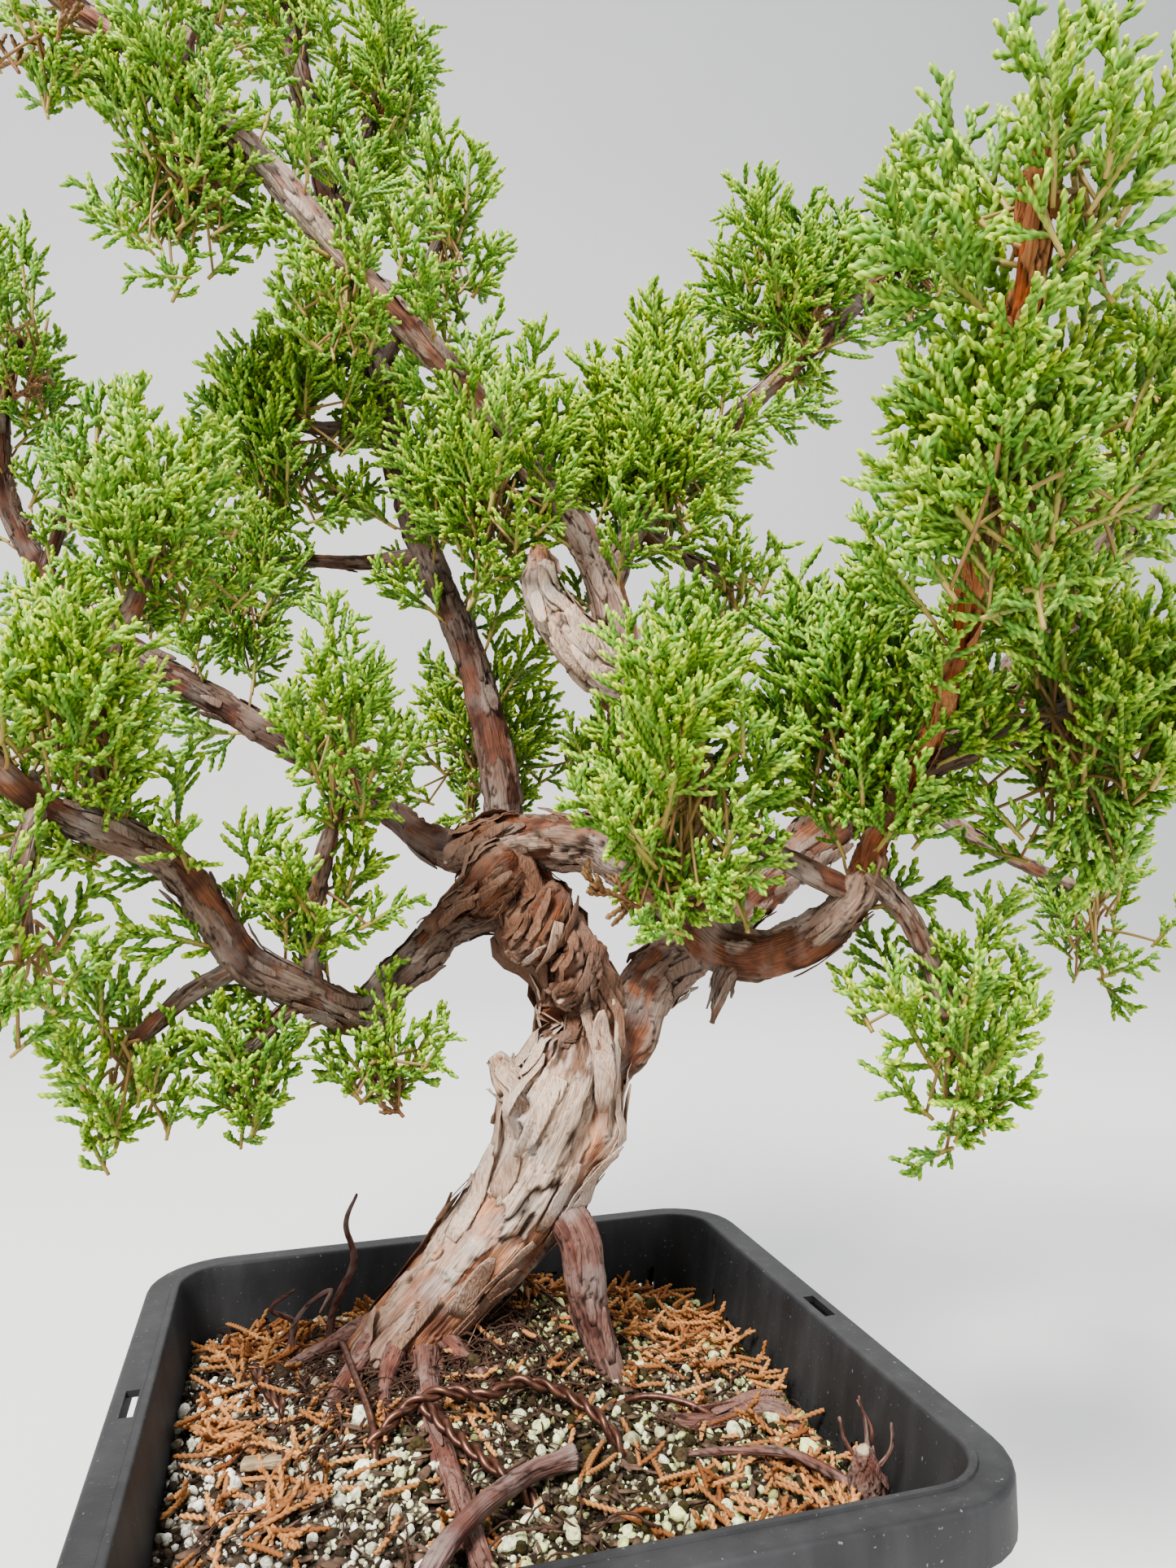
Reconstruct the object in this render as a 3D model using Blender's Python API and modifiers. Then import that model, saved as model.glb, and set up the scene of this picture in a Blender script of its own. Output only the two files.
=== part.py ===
"""Bonsai juniper in a square slotted training basket.

The origin is the centre of the basket's bottom face, +Z is up, and the basket's
sides run along X and Y. The viewer's side is -Y.
"""

import math

import bmesh
import bpy
from mathutils import Matrix, Vector, noise

MM = 0.001

# Driving dimensions, in metres.
POT_WIDTH = 0.168  # across the rim's outer edges
POT_DEPTH = 0.168
POT_HEIGHT = 0.080
WALL_LEAN = 0.014  # how far each wall leans in from the rim down to the floor
POT_CORNER = 0.020  # outer corner radius of the rim
WALL = 0.0022
FLOOR = 0.0030
RIM_LEDGE = 0.0082  # width of the flat ledge from its outer edge to the inner wall
LIP_DROP = 0.0110  # height of the skirt that hangs from the ledge
EDGE_ROUND = 0.0012
RIM_SLOT_LENGTH = 0.0120
RIM_SLOT_WIDTH = 0.0028
WALL_SLIT_WIDTH = 0.0016
WALL_SLIT_HEIGHT = 0.0150
WALL_SLITS_PER_SIDE = 8
WALL_SLIT_ROWS = (0.020, 0.042)  # heights of the middles of the two rows
FLOOR_SLOT_LENGTH = 0.022
FLOOR_SLOT_WIDTH = 0.005
FLOOR_SLOT_RING = 0.038  # from the floor's centre to the middle of each slot

SOIL_DROP = 0.018  # from the rim down to the soil beside the walls
MOUND_HEIGHT = 0.008  # how much higher the soil stands round the trunk
MOUND_SPREAD = 0.034
MOUND_CENTRE = (-0.012, 0.022)
SOIL_RING_SHARES = (1.0, 0.86, 0.7, 0.54, 0.38, 0.22, 0.08)  # of the way out to the wall

# The routes further down are drawn, in millimetres, for a tree of this size.
DRAWN_HEIGHT = 0.400
DRAWN_SPREAD = 0.320
TREE_HEIGHT = 0.400  # from the rim to the tip of the tallest stem
TREE_SPREAD = 0.320  # from the leftmost stem tip to the rightmost
DRAWN_POT_WIDTH = 0.168  # the basket that the places on the soil are drawn in
DRAWN_POT_DEPTH = 0.168
TRUNK_FOOT_RADIUS = 0.014  # the drawn trunk where it meets the soil
STILL_REACH = 0.024  # what lies nearer the trunk's foot than this doesn't move with the walls
STAND_OFF_REACH = 0.060  # how far from the trunk's foot a thicker trunk moves what lies on the soil
TRUNK_GIRTH = 1.0  # times the drawn thickness of the trunk
LIMB_GIRTH = 1.0  # times the drawn thickness of the limbs
ROOT_GIRTH = 1.0  # times the drawn thickness of the roots
PAD_FULLNESS = 1.0  # times the drawn radii of the foliage pads

WIRE_RADIUS = 0.0009
TWIST_RADIUS = 0.0016  # two wires wound round each other

TUBE_STEP = 0.0110  # between the cross-sections of the trunk and the limbs
CLEARANCE = 0.0004  # between pieces that grow from, lie on or pass through each other
PAD_GAP = 0.0012  # between neighbouring foliage pads

# Wood: each run is a list of (x, y, height above the rim, radius), in millimetres.
TRUNK = [
    [
        (-20, 30, -22, 14.5),
        (-18, 29, -9, 14.0),
        (-3, 27, 9, 12.5),
        (13, 25, 31, 13.0),
        (22, 24, 50, 14.0),
        (26, 24, 64, 11.5),
        (26, 25, 75, 9.5),
        (22, 26, 86, 9.5),
        (15, 28, 97, 10.0),
        (8, 31, 107, 10.0),
        (4, 33, 117, 8.5),
    ],
]
LIMBS = {
    "limb_left": [
        [
            (8, 29, 98, 5.5),
            (-8, 27, 94, 4.8),
            (-20, 21, 84, 4.4),
            (-31, 14, 76, 4.4),
            (-42, 8, 82, 4.2),
            (-56, 4, 90, 4.2),
            (-64, 2, 102, 4.0),
            (-72, -3, 113, 3.8),
            (-83, -9, 119, 3.5),
            (-95, -18, 125, 3.0),
            (-104, -24, 134, 2.4),
        ],
        [(-56, 4, 90, 2.4), (-68, 3, 84, 2.0), (-80, 0, 74, 1.6)],
        [(-42, 8, 82, 2.2), (-50, 5, 77, 1.8), (-57, 3, 70, 1.5)],
        [(-31, 14, 76, 2.2), (-28, 10, 72, 1.8), (-26, 8, 64, 1.5)],
        [(-42, 8, 82, 2.6), (-42, 9, 100, 2.2), (-37, 4, 124, 1.9), (-35, 2, 146, 1.5)],
        [(-83, -9, 119, 2.6), (-87, -9, 140, 2.3), (-79, -4, 170, 2.0), (-74, -1, 192, 1.5)],
        [(-95, -18, 125, 2.2), (-97, -22, 113, 1.8), (-96, -22, 98, 1.5)],
    ],
    "limb_right_front": [
        [
            (5, 30, 113, 6.5),
            (16, 20, 117, 6.8),
            (32, 5, 114, 7.0),
            (42, -11, 101, 6.8),
            (51, -23, 90, 6.4),
            (61, -35, 93, 6.0),
            (69, -45, 103, 5.4),
            (71, -51, 115, 4.8),
            (74, -61, 128, 4.3),
            (75, -71, 141, 4.0),
            (73, -83, 157, 3.7),
            (69, -93, 168, 3.4),
            (65, -104, 178, 3.2),
            (60, -118, 194, 2.8),
            (57, -128, 212, 2.2),
        ],
        [(51, -23, 90, 3.2), (46, -24, 80, 2.4)],
        [(69, -45, 103, 2.8), (52, -43, 112, 2.2), (33, -41, 127, 1.6)],
        [(71, -51, 115, 2.6), (67, -49, 135, 2.1), (64, -49, 156, 1.5)],
        [(74, -61, 128, 2.6), (90, -67, 134, 2.2), (105, -73, 142, 1.6)],
        [(70, -48, 108, 2.8), (78, -52, 97, 2.2), (84, -55, 78, 1.6)],
    ],
    "limb_right_back": [
        [
            (26, 24, 54, 8.0),
            (38, 26, 63, 8.0),
            (47, 32, 76, 7.5),
            (64, 39, 86, 7.2),
            (92, 44, 106, 7.0),
            (127, 39, 133, 6.5),
            (158, 27, 158, 6.2),
            (171, 16, 177, 6.0),
            (181, 5, 196, 5.5),
            (191, -7, 218, 4.5),
            (196, -12, 236, 3.0),
        ],
        [(127, 39, 133, 2.8), (149, 20, 113, 2.2), (166, 1, 99, 1.6)],
        [(158, 27, 158, 2.8), (176, 9, 152, 2.2), (190, -4, 148, 1.6)],
    ],
    "leader_back": [
        [
            (7, 34, 110, 6.0),
            (9, 38, 126, 5.0),
            (5, 43, 156, 4.6),
            (-1, 47, 177, 4.4),
            (-9, 51, 198, 4.2),
            (-16, 56, 222, 4.0),
            (-18, 59, 240, 3.8),
            (-24, 64, 266, 3.6),
            (-36, 73, 316, 3.3),
            (-43, 79, 352, 3.0),
            (-48, 85, 383, 2.6),
            (-50, 88, 400, 2.0),
        ],
        [(7, 41, 142, 2.4), (9, 53, 145, 2.0), (10, 66, 148, 1.6)],
        [(-9, 51, 198, 2.4), (-34, 62, 198, 1.9), (-60, 73, 202, 1.5)],
        [(-18, 59, 240, 2.4), (-35, 59, 236, 1.9), (-52, 60, 238, 1.5)],
        [(-21, 62, 254, 2.4), (-12, 54, 276, 1.9), (-4, 48, 294, 1.5)],
        [(-33, 71, 304, 2.4), (-26, 71, 328, 1.9), (-19, 71, 352, 1.5)],
    ],
    "leader_front": [
        [
            (34, 4, 112, 6.0),
            (40, 8, 127, 5.4),
            (40, 11, 145, 4.6),
            (37, 14, 166, 4.4),
            (31, 15, 188, 4.4),
            (20, 16, 206, 4.2),
            (4, 18, 224, 3.8),
            (-7, 18, 238, 3.6),
            (-20, 19, 252, 3.5),
            (-33, 19, 264, 3.4),
            (-53, 19, 287, 3.2),
            (-76, 20, 307, 2.9),
            (-97, 20, 320, 2.4),
            (-106, 20, 326, 1.8),
        ],
        [(40, 11, 145, 2.4), (41, 24, 142, 2.0), (39, 39, 141, 1.6)],
        [(-53, 19, 287, 2.2), (-65, 25, 284, 1.8), (-76, 27, 287, 1.5)],
        [(-76, 20, 307, 2.2), (-73, 32, 325, 1.8), (-69, 43, 343, 1.5)],
    ],
    "limb_centre": [
        [
            (33, 15, 180, 3.4),
            (40, 17, 196, 3.3),
            (54, 19, 213, 3.1),
            (73, 21, 233, 2.9),
            (98, 20, 257, 2.6),
            (124, 19, 283, 2.3),
            (144, 17, 298, 1.7),
        ],
        [(43, 18, 200, 2.2), (57, 21, 193, 1.8), (71, 23, 189, 1.5)],
        [(98, 20, 257, 2.0), (94, 22, 270, 1.8), (90, 24, 284, 1.5)],
    ],
    "limb_far_left": [
        [
            (3, 32, 112, 5.2),
            (-10, 40, 116, 4.6),
            (-24, 51, 128, 4.3),
            (-43, 62, 143, 4.1),
            (-73, 75, 162, 3.9),
            (-104, 86, 183, 3.7),
            (-116, 89, 197, 3.5),
            (-126, 91, 218, 3.0),
            (-128, 88, 242, 2.5),
            (-122, 80, 264, 1.8),
        ],
        [(-116, 89, 197, 2.2), (-109, 79, 212, 1.8), (-101, 69, 227, 1.5)],
    ],
}

# Roots and cut wood that lie in or on the soil: (x, y, height above the soil, radius).
PROP_ROOT = [(16, 24, 36, 5.0), (22, 15, 31, 4.6), (24, 12, 15, 4.0), (28, 9, 1, 3.0), (31, 7, -6, 2.4)]
GROUND_WOOD = {
    "surface_root_front": [
        (-16, 18, 1.0, 4.2),
        (-17, 0, 0.6, 3.0),
        (-16, -18, 0.4, 2.8),
        (-14, -40, 0.2, 2.6),
        (-12, -56, -1.0, 2.3),
        (-11, -66, -5.0, 2.0),
    ],
    "surface_root_right": [
        (33, -8, -1.5, 1.6),
        (42, -15, 1.2, 1.6),
        (52, -14, 1.8, 1.5),
        (61, -15, 1.5, 1.4),
        (65, -24, -2.5, 1.2),
    ],
    "cut_root_stick": [(9, -27, 3.4, 2.4), (-3, -33, 5.2, 2.9), (-18, -47, 6.6, 3.0), (-32, -62, -1.0, 2.8)],
    "root_stump": [(66, -47, -6, 4.0), (65, -48, 3, 4.0), (63, -50, 11, 3.4)],
}
# The wires stand clear of the soil and go into it at their ends.
ANCHOR_WIRES = {
    "anchor_wire_left_leg": (WIRE_RADIUS, [(-36, 46, -5), (-34, 34, 2), (-29, 12, 5), (-30, -4, 4), (-31, -20, -5)]),
    "anchor_wire_cross": (
        TWIST_RADIUS,
        [(-26, 5, 5.6), (-15, 4, 6.6), (-5, 4, 5), (4, 8, 4.5), (11, 4, 4.5), (17, -1, 4), (25, -20, -5)],
    ),
    "anchor_wire_tail": (TWIST_RADIUS, [(-11, -2, 5.4), (-9, -12, 5), (-5, -19, 3.5), (1, -24, 1), (4, -30, -6)]),
    "anchor_wire_right_leg": (WIRE_RADIUS, [(34, 0, -5), (31, -4, 2), (28, -14, 3), (24, -26, -5)]),
    "anchor_wire_left_end": (TWIST_RADIUS, [(-55, 30, 4), (-52, 20, 3), (-49, 12, 2), (-47, 4, -5)]),
}
CHIP_SIZE = (0.0100, 0.0055, 0.0022)
CHIP_PLACE = (-0.052, -0.006)
CHIP_TURN = math.radians(-8)

# Foliage pads: centre (x, y, height above the rim) and half-sizes, in millimetres.
PADS = {
    "foliage_left_upper": ((-76, -2, 187), (20, 28, 27)),
    "foliage_left_front": ((-88, -9, 147), (22, 28, 26)),
    "foliage_left_upright": ((-35, 2, 143), (17, 24, 26)),
    "foliage_left_hanging": ((-80, 0, 74), (17, 20, 21)),
    "foliage_low_middle": ((-57, 3, 70), (18, 19, 14)),
    "foliage_low_inner": ((-27, 9, 70), (17, 17, 14)),
    "foliage_left_edge": ((-97, -22, 102), (15, 22, 20)),
    "foliage_left_centre": ((-42, 8, 108), (20, 20, 15)),
    "foliage_back_left": ((-50, 60, 237), (30, 25, 33)),
    "foliage_left_back": ((-60, 73, 200), (18, 22, 30)),
    "foliage_front_top": ((-74, 26, 290), (24, 23, 27)),
    "foliage_front_middle": ((-34, 17, 257), (17, 18, 15)),
    "foliage_front_tip": ((-103, 21, 315), (17, 20, 15)),
    "foliage_front_crown": ((-69, 43, 342), (20, 20, 17)),
    "foliage_back_top": ((-19, 71, 350), (20, 23, 30)),
    "foliage_back_upper": ((-4, 48, 291), (16, 23, 27)),
    "foliage_back_crown": ((-50, 88, 398), (22, 22, 26)),
    "foliage_centre_left": ((1, 19, 212), (26, 26, 27)),
    "foliage_centre": ((48, 21, 226), (26, 27, 34)),
    "foliage_centre_right": ((72, 23, 189), (19, 20, 15)),
    "foliage_back_low": ((10, 65, 147), (31, 21, 23)),
    "foliage_back_low_right": ((39, 39, 141), (13, 17, 19)),
    "foliage_right_front": ((32, -41, 129), (22, 24, 34)),
    "foliage_right_inner": ((66, -51, 147), (20, 26, 32)),
    "foliage_right_outer": ((103, -73, 142), (22, 28, 32)),
    "foliage_right_hanging": ((84, -55, 80), (17, 20, 27)),
    "foliage_upper_right": ((92, 24, 279), (22, 25, 25)),
    "foliage_upper_tip": ((128, 18, 292), (22, 23, 25)),
    "foliage_near_top": ((64, -125, 215), (17, 20, 20)),
    "foliage_near_middle": ((65, -107, 178), (25, 25, 25)),
    "foliage_low_back_right": ((166, 0, 99), (15, 23, 22)),
    "foliage_back_right": ((189, -5, 147), (16, 21, 20)),
    "foliage_right_crown": ((194, -11, 234), (22, 22, 26)),
    "foliage_far_left": ((-121, 80, 266), (17, 22, 27)),
    "foliage_far_left_low": ((-101, 69, 226), (15, 19, 18)),
}
PAD_ROUGHNESS = 0.12  # share of the radius by which a pad's surface wanders

MATERIALS = {
    "black_plastic": ((0.030, 0.031, 0.035), 0.55, 0.0),
    "soil_mix": ((0.34, 0.31, 0.25), 0.95, 0.0),
    "bark": ((0.22, 0.15, 0.11), 0.9, 0.0),
    "root_bark": ((0.20, 0.12, 0.09), 0.85, 0.0),
    "dry_wood": ((0.45, 0.34, 0.24), 0.9, 0.0),
    "copper_wire": ((0.24, 0.13, 0.09), 0.45, 0.8),
    "juniper_foliage": ((0.10, 0.24, 0.05), 0.7, 0.0),
}


def clear_scene():
    for existing in list(bpy.data.objects):
        bpy.data.objects.remove(existing, do_unlink=True)


def make_collection(name):
    collection = bpy.data.collections.new(name)
    bpy.context.scene.collection.children.link(collection)
    return collection


def make_material(name):
    colour, roughness, metallic = MATERIALS[name]
    material = bpy.data.materials.new(name)
    material.use_nodes = True
    shader = material.node_tree.nodes["Principled BSDF"]
    shader.inputs["Base Color"].default_value = (*colour, 1.0)
    shader.inputs["Roughness"].default_value = roughness
    shader.inputs["Metallic"].default_value = metallic
    return material


def add_object(name, mesh, collection, material=None):
    obj = bpy.data.objects.new(name, mesh)
    collection.objects.link(obj)
    if material:
        mesh.materials.append(material)
    mesh.shade_smooth()
    mesh.set_sharp_from_angle(angle=math.radians(40))
    return obj


def add_cutter(name, mesh, collection):
    cutter = add_object(name, mesh, collection)
    cutter.hide_render = True
    cutter.display_type = "WIRE"
    return cutter


def mesh_from_bmesh(name, bm):
    bmesh.ops.recalc_face_normals(bm, faces=bm.faces)
    mesh = bpy.data.meshes.new(name)
    bm.to_mesh(mesh)
    bm.free()
    return mesh


def cut(obj, cutter, operation="DIFFERENCE"):
    modifier = obj.modifiers.new(operation.lower(), "BOOLEAN")
    modifier.operation = operation
    modifier.solver = "EXACT"
    modifier.object = cutter


def boxes_meet(first, second):
    """True where the bounding boxes of two unmoved objects touch."""
    for axis in range(3):
        low_a, high_a = span(first, axis)
        low_b, high_b = span(second, axis)
        if high_a < low_b or high_b < low_a:
            return False
    return True


def span(obj, axis):
    values = [corner[axis] for corner in obj.bound_box]
    return min(values), max(values)


# ---- The basket ----


def rounded_ring(half_x, half_y, corner, height, corner_steps=5):
    """Points of a rounded rectangle at one height, anticlockwise from above."""
    points = []
    centres = ((1, 1), (-1, 1), (-1, -1), (1, -1))
    for quarter, (side_x, side_y) in enumerate(centres):
        for step in range(corner_steps + 1):
            angle = math.radians(90 * quarter + 90 * step / corner_steps)
            x = side_x * (half_x - corner) + corner * math.cos(angle)
            y = side_y * (half_y - corner) + corner * math.sin(angle)
            points.append(Vector((x, y, height)))
    return points


def loft(rings):
    """A closed body through rings of equally many points, capped at both ends."""
    bm = bmesh.new()
    loops = [[bm.verts.new(point) for point in ring] for ring in rings]
    for lower, upper in zip(loops, loops[1:]):
        count = len(lower)
        for index in range(count):
            following = (index + 1) % count
            bm.faces.new((lower[index], lower[following], upper[following], upper[index]))
    bm.faces.new(reversed(loops[0]))
    bm.faces.new(loops[-1])
    return bm


def inset_ring(inset, height, leaning=True):
    """A ring this far inside the rim's outer edge, with a concentric corner.

    A leaning ring also follows the walls, which lean in towards the floor.
    """
    lean = WALL_LEAN * (1 - height / POT_HEIGHT) if leaning else 0
    corner = POT_CORNER - inset
    return rounded_ring(POT_WIDTH / 2 - inset - lean, POT_DEPTH / 2 - inset - lean, corner, height)


def pot_rings():
    top = POT_HEIGHT
    outside = RIM_LEDGE - WALL
    edge = EDGE_ROUND
    return [
        inset_ring(outside + edge, 0),
        inset_ring(outside, edge),
        inset_ring(outside, top - WALL),
        inset_ring(WALL, top - WALL, leaning=False),
        inset_ring(WALL, top - LIP_DROP, leaning=False),
        inset_ring(0, top - LIP_DROP, leaning=False),
        inset_ring(0, top - edge, leaning=False),
        inset_ring(edge * 0.3, top - edge * 0.3, leaning=False),
        inset_ring(edge, top, leaning=False),
        inset_ring(RIM_LEDGE - edge, top),
        inset_ring(RIM_LEDGE, top - edge),
        inset_ring(RIM_LEDGE, FLOOR),
    ]


def box_cutter(name, collection, size, place, turn=0.0):
    bm = bmesh.new()
    bmesh.ops.create_cube(bm, size=1.0)
    bmesh.ops.scale(bm, vec=size, verts=bm.verts)
    cutter = add_cutter(name, mesh_from_bmesh(name, bm), collection)
    cutter.location = place
    cutter.rotation_euler.z = turn
    return cutter


def join_cutters(name, cutters, collection):
    """One cutter from several that don't touch each other."""
    bm = bmesh.new()
    bpy.context.view_layer.update()
    for cutter in cutters:
        placed = cutter.data.copy()
        placed.transform(cutter.matrix_world)
        bm.from_mesh(placed)
        bpy.data.objects.remove(cutter, do_unlink=True)
    return add_cutter(name, mesh_from_bmesh(name, bm), collection)


def rim_slot_cutters(cutters):
    middle = RIM_LEDGE * 0.52
    size = (RIM_SLOT_WIDTH, RIM_SLOT_LENGTH, WALL * 4)
    slots = []
    for side in (-1, 1):
        place = (side * (POT_WIDTH / 2 - middle), 0, POT_HEIGHT)
        slots.append(box_cutter("rim_slot", cutters, size, place))
    return slots


def wall_slit_cutters(cutters):
    """Slits in the four walls, in level rows."""
    slits = []
    size = (WALL_SLIT_WIDTH, 4 * WALL + WALL_LEAN * WALL_SLIT_HEIGHT / POT_HEIGHT, WALL_SLIT_HEIGHT)
    for turn in range(4):
        half_along, half_across = POT_WIDTH / 2, POT_DEPTH / 2
        if turn % 2:
            half_along, half_across = half_across, half_along
        run = 2 * (half_along - POT_CORNER - WALL_LEAN)
        angle = math.radians(90 * turn)
        for row_height in WALL_SLIT_ROWS:
            lean = WALL_LEAN * (1 - row_height / POT_HEIGHT)
            across = half_across - RIM_LEDGE - lean + WALL / 2
            for index in range(WALL_SLITS_PER_SIDE):
                along = run * ((index + 0.5) / WALL_SLITS_PER_SIDE - 0.5)
                spot = Matrix.Rotation(angle, 3, "Z") @ Vector((along, across, row_height))
                slits.append(box_cutter("wall_slit", cutters, size, spot, angle))
    return slits


def floor_slot_cutters(cutters):
    slots = []
    for index in range(8):
        angle = math.radians(45 * index)
        place = (FLOOR_SLOT_RING * math.cos(angle), FLOOR_SLOT_RING * math.sin(angle), FLOOR / 2)
        size = (FLOOR_SLOT_LENGTH, FLOOR_SLOT_WIDTH, FLOOR * 4)
        slots.append(box_cutter("floor_slot", cutters, size, place, angle))
    return slots


def build_pot(parts, cutters, material):
    pot = add_object("training_pot", mesh_from_bmesh("training_pot", loft(pot_rings())), parts, material)
    openings = rim_slot_cutters(cutters) + wall_slit_cutters(cutters) + floor_slot_cutters(cutters)
    cut(pot, join_cutters("pot_openings", openings, cutters))
    return pot


# ---- The soil ----


def soil_height(x, y):
    """Height of the soil's surface over the floor's plane at a place."""
    off_x = x - MOUND_CENTRE[0]
    off_y = y - MOUND_CENTRE[1]
    mound = math.exp(-(off_x**2 + off_y**2) / (2 * MOUND_SPREAD**2))
    return POT_HEIGHT - SOIL_DROP + MOUND_HEIGHT * mound


def soil_rings():
    rings = [inset_ring(RIM_LEDGE + CLEARANCE, FLOOR + CLEARANCE)]
    outline = inset_ring(RIM_LEDGE + CLEARANCE, POT_HEIGHT - SOIL_DROP)
    for share in SOIL_RING_SHARES:
        places = [(point.x * share, point.y * share) for point in outline]
        rings.append([Vector((x, y, soil_height(x, y))) for x, y in places])
    return rings


def build_soil(parts, material):
    return add_object("soil_bed", mesh_from_bmesh("soil_bed", loft(soil_rings())), parts, material)


# ---- Wood, roots and wires ----


def tree_stretch():
    """How much larger the tree is than drawn, across and up."""
    return TREE_SPREAD / DRAWN_SPREAD, TREE_HEIGHT / DRAWN_HEIGHT


def tree_point(x, y, z):
    """A drawn point of the tree, stretched to the tree's own size."""
    across, up = tree_stretch()
    return Vector((x * MM * across, y * MM * across, POT_HEIGHT + z * MM * up))


def way_to_wall(place, foot, size, drawn_size):
    """A drawn place along one axis. Past the trunk's surroundings it keeps its share of the way to the wall."""
    side = math.copysign(1, place - foot)
    past = abs(place - foot) - STILL_REACH
    if past <= 0:
        return place
    drawn_way = drawn_size / 2 - RIM_LEDGE - WALL_LEAN - side * foot - STILL_REACH
    way = size / 2 - RIM_LEDGE - WALL_LEAN - side * foot - STILL_REACH
    return place + side * past * (way / drawn_way - 1)


def soil_spot(x, y):
    """A drawn place on the soil, kept between the walls and clear of the trunk."""
    foot = tree_point(*TRUNK[0][1][:3])
    x = way_to_wall(x * MM, foot.x, POT_WIDTH, DRAWN_POT_WIDTH)
    y = way_to_wall(y * MM, foot.y, POT_DEPTH, DRAWN_POT_DEPTH)
    distance = math.hypot(x - foot.x, y - foot.y)
    fade = min(1, max(0, 1 - (distance - TRUNK_FOOT_RADIUS) / STAND_OFF_REACH))
    growth = 1 + (TRUNK_GIRTH - 1) * TRUNK_FOOT_RADIUS * fade / distance
    return foot.x + (x - foot.x) * growth, foot.y + (y - foot.y) * growth


def ground_point(x, y, z):
    x, y = soil_spot(x, y)
    return Vector((x, y, soil_height(x, y) + z * MM))


def smooth_run(points, radii, spacing):
    """Points along a smooth curve through the given ones, and the radius at each."""
    placed = []
    for index in range(len(points) - 1):
        before = points[max(index - 1, 0)]
        start, end = points[index], points[index + 1]
        after = points[min(index + 2, len(points) - 1)]
        steps = max(1, round((end - start).length / spacing))
        for step in range(steps):
            t = step / steps
            place = 0.5 * (
                2 * start
                + (end - before) * t
                + (2 * before - 5 * start + 4 * end - after) * t**2
                + (3 * start - before - 3 * end + after) * t**3
            )
            placed.append((place, radii[index] * (1 - t) + radii[index + 1] * t))
    placed.append((points[-1], radii[-1]))
    return placed


def tube_mesh(name, points, radii, spacing):
    """A closed round tube of changing radius through the points."""
    run = smooth_run(points, radii, spacing)
    curve = bpy.data.curves.new(name, "CURVE")
    curve.dimensions = "3D"
    curve.bevel_depth = MM
    curve.bevel_resolution = 2
    curve.use_fill_caps = True
    spline = curve.splines.new("POLY")
    spline.points.add(len(run) - 1)
    for point, (place, radius) in zip(spline.points, run):
        point.co = (*place, 1.0)
        point.radius = radius / MM
    guide = bpy.data.objects.new(name, curve)
    bpy.context.scene.collection.objects.link(guide)
    graph = bpy.context.evaluated_depsgraph_get()
    mesh = bpy.data.meshes.new_from_object(guide.evaluated_get(graph))
    bpy.data.objects.remove(guide, do_unlink=True)
    bpy.data.curves.remove(curve)
    bm = bmesh.new()
    bm.from_mesh(mesh)
    bmesh.ops.remove_doubles(bm, verts=bm.verts, dist=0.00001)
    bmesh.ops.recalc_face_normals(bm, faces=bm.faces)
    bm.to_mesh(mesh)
    bm.free()
    return mesh


def wood_tube(name, run, girth, margin):
    """One run of wood, or with a margin the room that it needs."""
    points = [tree_point(x, y, z) for x, y, z, _ in run]
    radii = [radius * MM * girth + margin for *_, radius in run]
    return tube_mesh(name, points, radii, TUBE_STEP)


def wood_object(name, runs, girth, margin, place_in, cutters, material=None):
    """A main run with its side shoots joined on."""
    mesh = wood_tube(name, runs[0], girth, margin)
    if material:
        wood = add_object(name, mesh, place_in, material)
    else:
        wood = add_cutter(name, mesh, place_in)
    for index, run in enumerate(runs[1:]):
        shoot_name = f"{name}_shoot_{index + 1}"
        shoot = add_cutter(shoot_name, wood_tube(shoot_name, run, girth, margin), cutters)
        cut(wood, shoot, "UNION")
    return wood


def freeze(obj):
    """Replaces an object's mesh and modifiers with the evaluated shape."""
    bpy.context.view_layer.update()
    graph = bpy.context.evaluated_depsgraph_get()
    mesh = bpy.data.meshes.new_from_object(obj.evaluated_get(graph))
    obj.modifiers.clear()
    obj.data = mesh
    return obj


def build_tree_wood(parts, cutters, material):
    """The trunk and its limbs. Returns the room that each of them needs."""
    wood_object("trunk", TRUNK, TRUNK_GIRTH, 0, parts, cutters, material)
    rooms = [freeze(wood_object("trunk_room", TRUNK, TRUNK_GIRTH, CLEARANCE, cutters, cutters))]
    for name, runs in LIMBS.items():
        limb = freeze(wood_object(name, runs, LIMB_GIRTH, 0, parts, cutters, material))
        for room in rooms:
            if boxes_meet(limb, room):
                cut(limb, room)
        rooms.append(freeze(wood_object(f"{name}_room", runs, LIMB_GIRTH, CLEARANCE, cutters, cutters)))
    return rooms


def root_point(x, y, z):
    """A drawn point of a root that comes out of the trunk above the soil."""
    foot = tree_point(x, y, 0)
    return Vector((foot.x, foot.y, soil_height(foot.x, foot.y) + z * MM))


def ground_tube(name, run, girth, margin):
    place = root_point if run is PROP_ROOT else ground_point
    points = [place(x, y, z) for x, y, z, _ in run]
    radii = [radius * MM * girth + margin for *_, radius in run]
    return tube_mesh(name, points, radii, 0.005)


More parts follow.
